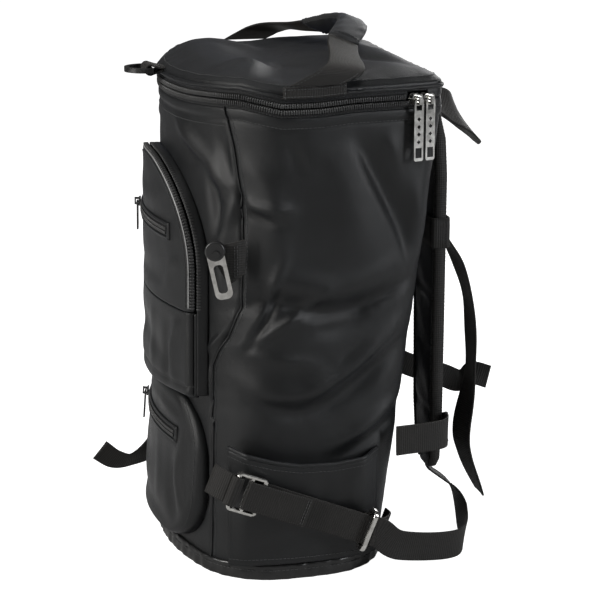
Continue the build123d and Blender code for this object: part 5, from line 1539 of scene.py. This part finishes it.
def make_pads():
    # each pad's y, width and thickness at these heights, from its foot up
    right_zs = np.array([66.0, 78.0, 120.0, 200.0, 326.0, 354.0, 374.0, 384.0])
    widths = np.array([26, 44, 54, 58, 58, 40, 24, 24])
    thick = np.array([8, 11, 12, 12, 12, 12, 4.6, 4.0])
    right_y = np.array([135.0, 135.0, 134.5, 134.0, 134.0, 135.0, 136.0, 136.0])
    left_zs = np.array([66.0, 78.0, 120.0, 200.0, 320.0, 354.0, 374.0, 384.0])
    left_y = np.array([106.3, 107.3, 111.0, 118.0, 128.5, 134.0, 136.0, 136.0])
    for name, m, zs, ys in (("right", 1, right_zs, right_y), ("left", -1, left_zs, left_y)):
        obj, co = relaxed_pad(f"shoulder_pad_{name}", f"shoulder_pad_cover_{name}")
        z = co[:, 2] / MM
        half = np.interp(z, zs, widths) / 2
        x = co[:, 0] / MM * m - PAD_X
        y = co[:, 1] / MM - np.interp(z, zs, ys)
        side = np.sign(y)
        full = step01((z - 70) / 10) * step01((372 - z) / 12)
        # sewn channels across the pad, a groove beside its bound edge, and a little wear
        channel = np.exp(-((((z - 96) % 52.0) - 26.0) / 2.2) ** 2) * (np.abs(x) < half - 5) * (z > 100) * (z < 352)
        groove = np.exp(-((np.abs(x) - (half - 4.6)) / 1.3) ** 2)
        wear = 0.28 * np.sin(z / 6.0 + x / 9.0) * (np.abs(x) < half - 5)
        push = (wear - 1.3 * channel - 0.9 * groove) * full
        co = co + np.column_stack([np.zeros_like(y), side * push, np.zeros_like(y)]) * MM * (np.abs(y) > 1.5)[:, None]
        obj.data.vertices.foreach_set("co", co.ravel())
        obj.data.update()
        sub = obj.modifiers.new("smooth", "SUBSURF")
        sub.levels = sub.render_levels = 1
        bpy.context.view_layer.objects.active = obj
        bpy.ops.object.modifier_apply(modifier=sub.name)
        mesh = obj.data
        mesh.materials.append(MATERIALS["fabric_black"])
        mesh.polygons.foreach_set("use_smooth", [True] * len(mesh.polygons))
        mesh.polygons.foreach_set("material_index", [0] * len(mesh.polygons))
        points = np.array([v.co for v in mesh.vertices]) / MM
        layer = mesh.attributes.new("weave", "FLOAT_VECTOR", "POINT")
        weave = np.column_stack([points[:, 0], points[:, 2], points[:, 0] * 0])
        layer.data.foreach_set("vector", weave.astype(np.float32).ravel())
        mesh.update()
        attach(obj, f"shoulder_{name}")
        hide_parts(f"shoulder_pad_{name}")
        # bound edge and sewn lines
        b = started("webbing_black")
        zz = np.linspace(70, 380, 150)
        yy, hh, tt = np.interp(zz, zs, ys), np.interp(zz, zs, widths) / 2, np.interp(zz, zs, thick) / 2
        for e in (1, -1):
            edge = np.column_stack([m * (PAD_X + e * (hh + 0.1)), yy, zz])
            rings = []
            for k, p in enumerate(edge):
                h = max(tt[k] - 1.6, 1.4)
                sec = [(-3.2, h + 0.5), (-1.4, h + 0.9), (0.3, h * 0.8), (0.9, 0), (0.3, -h * 0.8), (-1.4, -h - 0.9),
                       (-3.2, -h - 0.5), (-2.0, -h * 0.6), (-1.6, 0), (-2.0, h * 0.6)]
                rings.append([p + np.array([m * e * a, c, 0]) for a, c in sec])
            rings = np.array(rings)
            if m * e < 0:
                rings = rings[:, ::-1]
            tube_rings(b, rings[:, ::-1], True)
            for face in (1, -1):
                line = [m * (PAD_X + e * (hh - 2.2)), yy + face * (np.maximum(tt - 1.6, 1.4) + 0.85), zz]
                stitches(b, np.column_stack(line)[3:-3], (0, face, 0), 3.2, 0.27)
        b.make(f"shoulder_pad_binding_{name}", f"shoulder_{name}", "webbing_black")

    b = started("webbing_black")
    for m in (1, -1):
        top = []
        for z in (373.0, 375.5, 378.5, 381.5, 383.4):
            row = [(m * (PAD_X + u * 12.0), 125.2 + 7.2 * (1 - abs(u)) ** 0.8 + 0.2 * sin(z + 5 * u), z)
                   for u in np.linspace(-1, 1, 17)]
            top.append(row if m < 0 else row[::-1])
        P = np.array(top)
        low = P.copy()
        low[..., 1] = 124.2
        sheet_shell(b, P, 0, inner=low, weave=P)
        stitches(b, P[2] + [0, 0.3, 0], (0, 1, 0), 2.6, 0.3)
    b.make("shoulder_tabs", "bag", "webbing_black", ["shoulder_anchors"])


def lower_strap(foot_y, bulge_y):
    start, after = strap_spot(RING_DISTANCE + 5.8), strap_spot(RING_DISTANCE + 12.0)
    points = [start, after, (after[0] - 4, after[1] + 20, 25.0), (after[0] - 20, bulge_y - 12, 17.0),
              (PAD_X + 24, bulge_y + 2, 26.0), (PAD_X + 6, bulge_y - 2, 46.0), (PAD_X, foot_y, 63.5)]
    ways = [ACROSS, ACROSS, (0, 0.1, 1), (0.15, 0, 1), (0.7, 0.1, 0.7), (1, 0, 0.1), (1, 0, 0)]
    return smooth(points, 12), smooth(ways, 12)


def stay_strap(pad_y):
    z = 113.0
    share = (SWING_TOP[2] - z) / (SWING_TOP[2] - SWING_FOOT[2])
    axis = SWING_TOP + (SWING_FOOT - SWING_TOP) * share
    front = pad_y + PAD_THICK / 2 + 1.6
    points = [(axis[0] + 2, axis[1] + 6, z), (axis[0] - 6, pad_y - 4, z), (PAD_X + 31, front, z - 3),
              (PAD_X + 20, front + 0.4, z - 8), (PAD_X + 4, front + 0.2, z - 14)]
    ways = [(0, 0, 1), (0, 0, 1), (0, 0.05, 1), (0.1, 0, 1), (0.2, 0, 1)]
    return smooth(points, 10), smooth(ways, 10)


def keeper(b, centre, lean, m):
    """A webbing loop round a pad."""
    half_w, half_t = 58 / 2 + 0.8 + 0.9, PAD_THICK / 2 + 0.8 + 0.9
    a = radians(lean)
    turn = np.array([[1, 0, 0], [0, cos(a), -sin(a)], [0, sin(a), cos(a)]])
    corner, count = 3.2, 90
    pts = []
    for cx, cy, start in ((half_w - corner, half_t - corner, 0), (-half_w + corner, half_t - corner, 90),
                          (-half_w + corner, -half_t + corner, 180), (half_w - corner, -half_t + corner, 270)):
        arc = np.radians(start + np.arange(0, 91, 15))
        pts += [(cx + corner * cos(t), cy + corner * sin(t)) for t in arc]
    pts = np.array(pts)
    loop = np.vstack([pts, pts[:1]])
    s = along(loop)
    q = at_length(loop, s, np.linspace(0, s[-1], count, endpoint=False))
    d = unit(np.roll(q, -1, 0) - np.roll(q, 1, 0))
    n = np.column_stack([d[:, 1], -d[:, 0]])
    profile = [(-12.4, 0.7), (-6, 0.9), (0, 0.9), (6, 0.9), (12.4, 0.7),
               (12.4, -0.7), (6, -0.85), (0, -0.85), (-6, -0.85), (-12.4, -0.7)]
    rings = np.array([[[*(p + k * o), z] for z, o in profile] for p, k in zip(q, n)])
    rings = rings @ turn.T + np.array(centre)
    round_it = np.repeat(np.linspace(0, s[-1], count), len(profile))
    w = np.stack([round_it, np.tile([z for z, _ in profile], count), np.zeros(count * len(profile))], 1)
    rings = rings * [m, 1, 1]
    return tube_rings(b, rings if m < 0 else rings[:, ::-1], False, w, None, loop=True)


def make_shoulder_webbing():
    for name, m, foot, bulge, pad_y in (("right", 1, 135.2, 158.0, 134.5), ("left", -1, 106.4, 132.0, 110.7)):
        path, ways = lower_strap(foot, bulge)
        b = started("webbing_black")
        P, _, W, U = ribbon(b, flip(path, m), flip(ways, m) if m < 0 else ways, STRAP, curl=0.35, seed=2 + m)
        for d in (0.3, -0.3):
            stitches(b, P[-14:-2] + W[-14:-2] * STRAP * d + U[-14:-2] * 1.0, U[-14:-2], 2.6, 0.28)
        b.make(f"lower_webbing_{name}", f"shoulder_{name}", "webbing_black", [f"lower_strap_{name}"])
        path, ways = stay_strap(pad_y)
        b = started("webbing_black")
        P, _, W, U = ribbon(b, flip(path, m), flip(ways, m) if m < 0 else ways, STRAP, curl=0.3, seed=4 + m)
        for k in (-3, -5):
            line = np.array([P[k] + W[k] * v for v in np.linspace(-11, 11, 9)])
            for face in (1, -1):
                stitches(b, line + U[k] * 1.0 * face, U[k] * face, 2.6, 0.3)
        b.make(f"stay_webbing_{name}", f"shoulder_{name}", "webbing_black", [f"stay_strap_{name}"])

    out = PAD_THICK / 2 + 0.8 + WEBBING * 1.5 + 0.1
    b = started("webbing_black")
    keeper(b, (PAD_X, 134.0, 278.0), 0, 1)
    points = [(PAD_X + 6, 134.0 + out, 289.0), (PAD_X + 6, 134.0 + out, 274.0), (PAD_X + 5, 158.0, 244.0),
              (PAD_X + 4, 169.0, 205.0), (PAD_X + 2, 172.0, 150.0), (PAD_X, 166.0, 98.0),
              (PAD_X - 1, 170.0, 72.0), (PAD_X - 2, 184.0, 36.0)]
    ways = [(1, 0, 0), (1, 0, 0), (1, 0.15, 0), (1, 0.1, 0), (1, 0.1, 0), (0.9, 0.4, 0), (0.9, 0.3, 0), (1, 0, 0)]
    ribbon(b, smooth(points, 12), smooth(ways, 12), STRAP - 3, curl=0.5, ripple=0.5, seed=1.0)
    b.make("sternum_webbing_right", "sternum_right", "webbing_black", ["sternum_strap_right"])
    z = 138.0
    back, up = 7.0, 80.0         # how far the left pad goes back as it goes up, from y 111 at z 120
    y = 111.0 + back * (z - 120.0) / up
    b = started("webbing_black")
    keeper(b, (PAD_X, y, z), -degrees(atan2(back, up)), -1)
    points = [(PAD_X + 8, y + out, z), (PAD_X - 8, y + out + 0.6, z - 2), (PAD_X - 20, y + 33, z - 14),
              (PAD_X - 28, 178.0, z - 25), (PAD_X - 36, 192.0, z - 29), (PAD_X - 42, 203.0, z - 21),
              (PAD_X - 47, 217.0, z - 24)]
    ways = [(0, 0, 1), (0, 0, 1), (0, 0.2, 1), (0.3, 0.3, 1), (0.3, 0.5, 0.8), (0.3, 0.2, 0.8), (0.2, 0.1, 1)]
    ribbon(b, flip(smooth(points, 10), -1), flip(smooth(ways, 10), -1), STRAP - 4, curl=0.4, ripple=0.4, seed=3.0)
    b.make("sternum_webbing_left", "sternum_left", "webbing_black", ["sternum_strap_left"])


def make_haul_loop():
    z = 379.0
    y = back_wall(z)
    points = [(30, y + 1.8, z), (30.5, y + 9, z + 0.5), (29, y + 24, z - 2),
              (24, y + 40, z - 11), (13, y + 54, z - 25), (0, y + 59, z - 31)]
    ways = [(-1, 0, 0), (-0.95, 0, 0.2), (-0.75, -0.2, 0.6), (-0.3, -0.45, 0.8), (-0.05, -0.6, 0.8), (0, -0.62, 0.8)]
    half, tilt = smooth(points, 10), smooth(ways, 10)
    path = np.vstack([half, (half * [-1, 1, 1])[::-1][1:]])
    ways = np.vstack([tilt, (tilt * [-1, 1, 1])[::-1][1:]])
    w = 26.0 + 12.0 * np.minimum(1.0, np.arange(len(half)) / 30.0)
    widths = np.concatenate([w, w[::-1][1:]])
    b = started("webbing_black")
    ribbon(b, path, ways, widths, curl=0.6, ripple=0.3)
    b.make("haul_webbing", "haul", "webbing_black", ["haul_loop"])


# ---- gear clip's tab, foam sheet, and the CAD parts' own finishes --------------------------------
def make_clip_tab():
    y0, z0 = -58.0, 281.0
    o = outline_at(z0)
    x0 = side_x(y0, z0)
    a = atan2(y0 - o.side_c[1], x0 - o.side_c[0])
    origin = np.array([x0, y0, z0])
    X, Y, Z = np.array([-sin(a), cos(a), 0]), np.array([0, 0, 1.0]), np.array([cos(a), sin(a), 0])
    seam = SEAM_FRONT_Y - y0 + 6.0
    rows = []
    for f in np.linspace(0, 1, 14):
        top, low = 4 + 5 * f, -7.0 - 20 * step01(f * 1.7) + 9 * max(0, f - 0.5) * 2
        u = -4.5 + (seam + 4.5) * f
        lift = 5.0 - 3.6 * step01((f - 0.72) / 0.28)
        rows.append([origin + X * u + Y * (low + (top - low) * g) + Z * (lift + 0.3 * sin(5 * g))
                     for g in np.linspace(0, 1, 12)])
    P = np.array(rows).transpose(1, 0, 2)
    W = np.stack([(P - origin) @ Y, (P - origin) @ X, np.zeros(P.shape[:2])], 2)
    b = started("webbing_black")
    sheet_shell(b, P, 1.6, weave=W)
    stitches(b, P[1:-1, -4], Z, 2.5, 0.3)
    stitches(b, P[1:-1, -5], Z, 2.5, 0.3)
    b.make("clip_webbing", "bag", "webbing_black", ["clip_tab"])


def make_foam():
    low, high, half, thick = 8.0, 374.0, 66.0, 4.6
    zs = np.concatenate([[low, low + 0.6, low + 2], np.linspace(low + 6, high - 6, 40), [high - 2, high - 0.6, high]])
    xs = np.concatenate([[-half, -half + 0.6, -half + 2], np.linspace(-half + 6, half - 6, 26),
                         [half - 2, half - 0.6, half]])
    inner = np.zeros((len(zs), len(xs), 3))
    outer = np.zeros_like(inner)
    for i, z in enumerate(zs):
        for j, x in enumerate(xs):
            d = min(half - abs(x), z - low, high - z)
            round_ = sqrt(max(1 - max(1 - d / 2.2, 0) ** 2, 0))
            soft = 0.5 * sin(x / 14.0) * sin(z / 16.0)
            wall = back_wall(z) - 2.5 - 0.3
            mid = wall - thick / 2
            outer[i, j] = (x, mid + thick / 2 * round_ * 0.95, z)
            inner[i, j] = (x, mid - (thick / 2 + soft * 0.4) * round_ - 0.02, z)
    b = started("foam")
    sheet_shell(b, outer[:, ::-1], 0, inner=inner[:, ::-1])
    b.make("back_foam_sheet", "bag", "foam", ["back_foam"])


def finish_cad_parts():
    """The hard CAD parts stay as they are, each with its slot's material."""
    for row in frame["record"]["subparts"]:
        obj = frame["nodes"][row["node"]]
        if obj.hide_render:
            continue
        obj.data.materials.clear()
        obj.data.materials.append(MATERIALS[row["material_slot"]])


make_body()
make_base()
make_rim_zipper()
make_lid()
make_handle_tabs()
make_handle_strap()
make_handle_wrap()
make_dring_loop()
make_upper_pocket()
small_zipper("face_zip_chain", FACE_ZIP_Z, lambda z: UPPER_DEPTH - 0.2, "flap", "face_zip")
make_lower_pocket()
make_side_pockets()
make_side_straps()
make_pads()
make_shoulder_webbing()
make_haul_loop()
make_clip_tab()
make_foam()
finish_cad_parts()
make_studio()
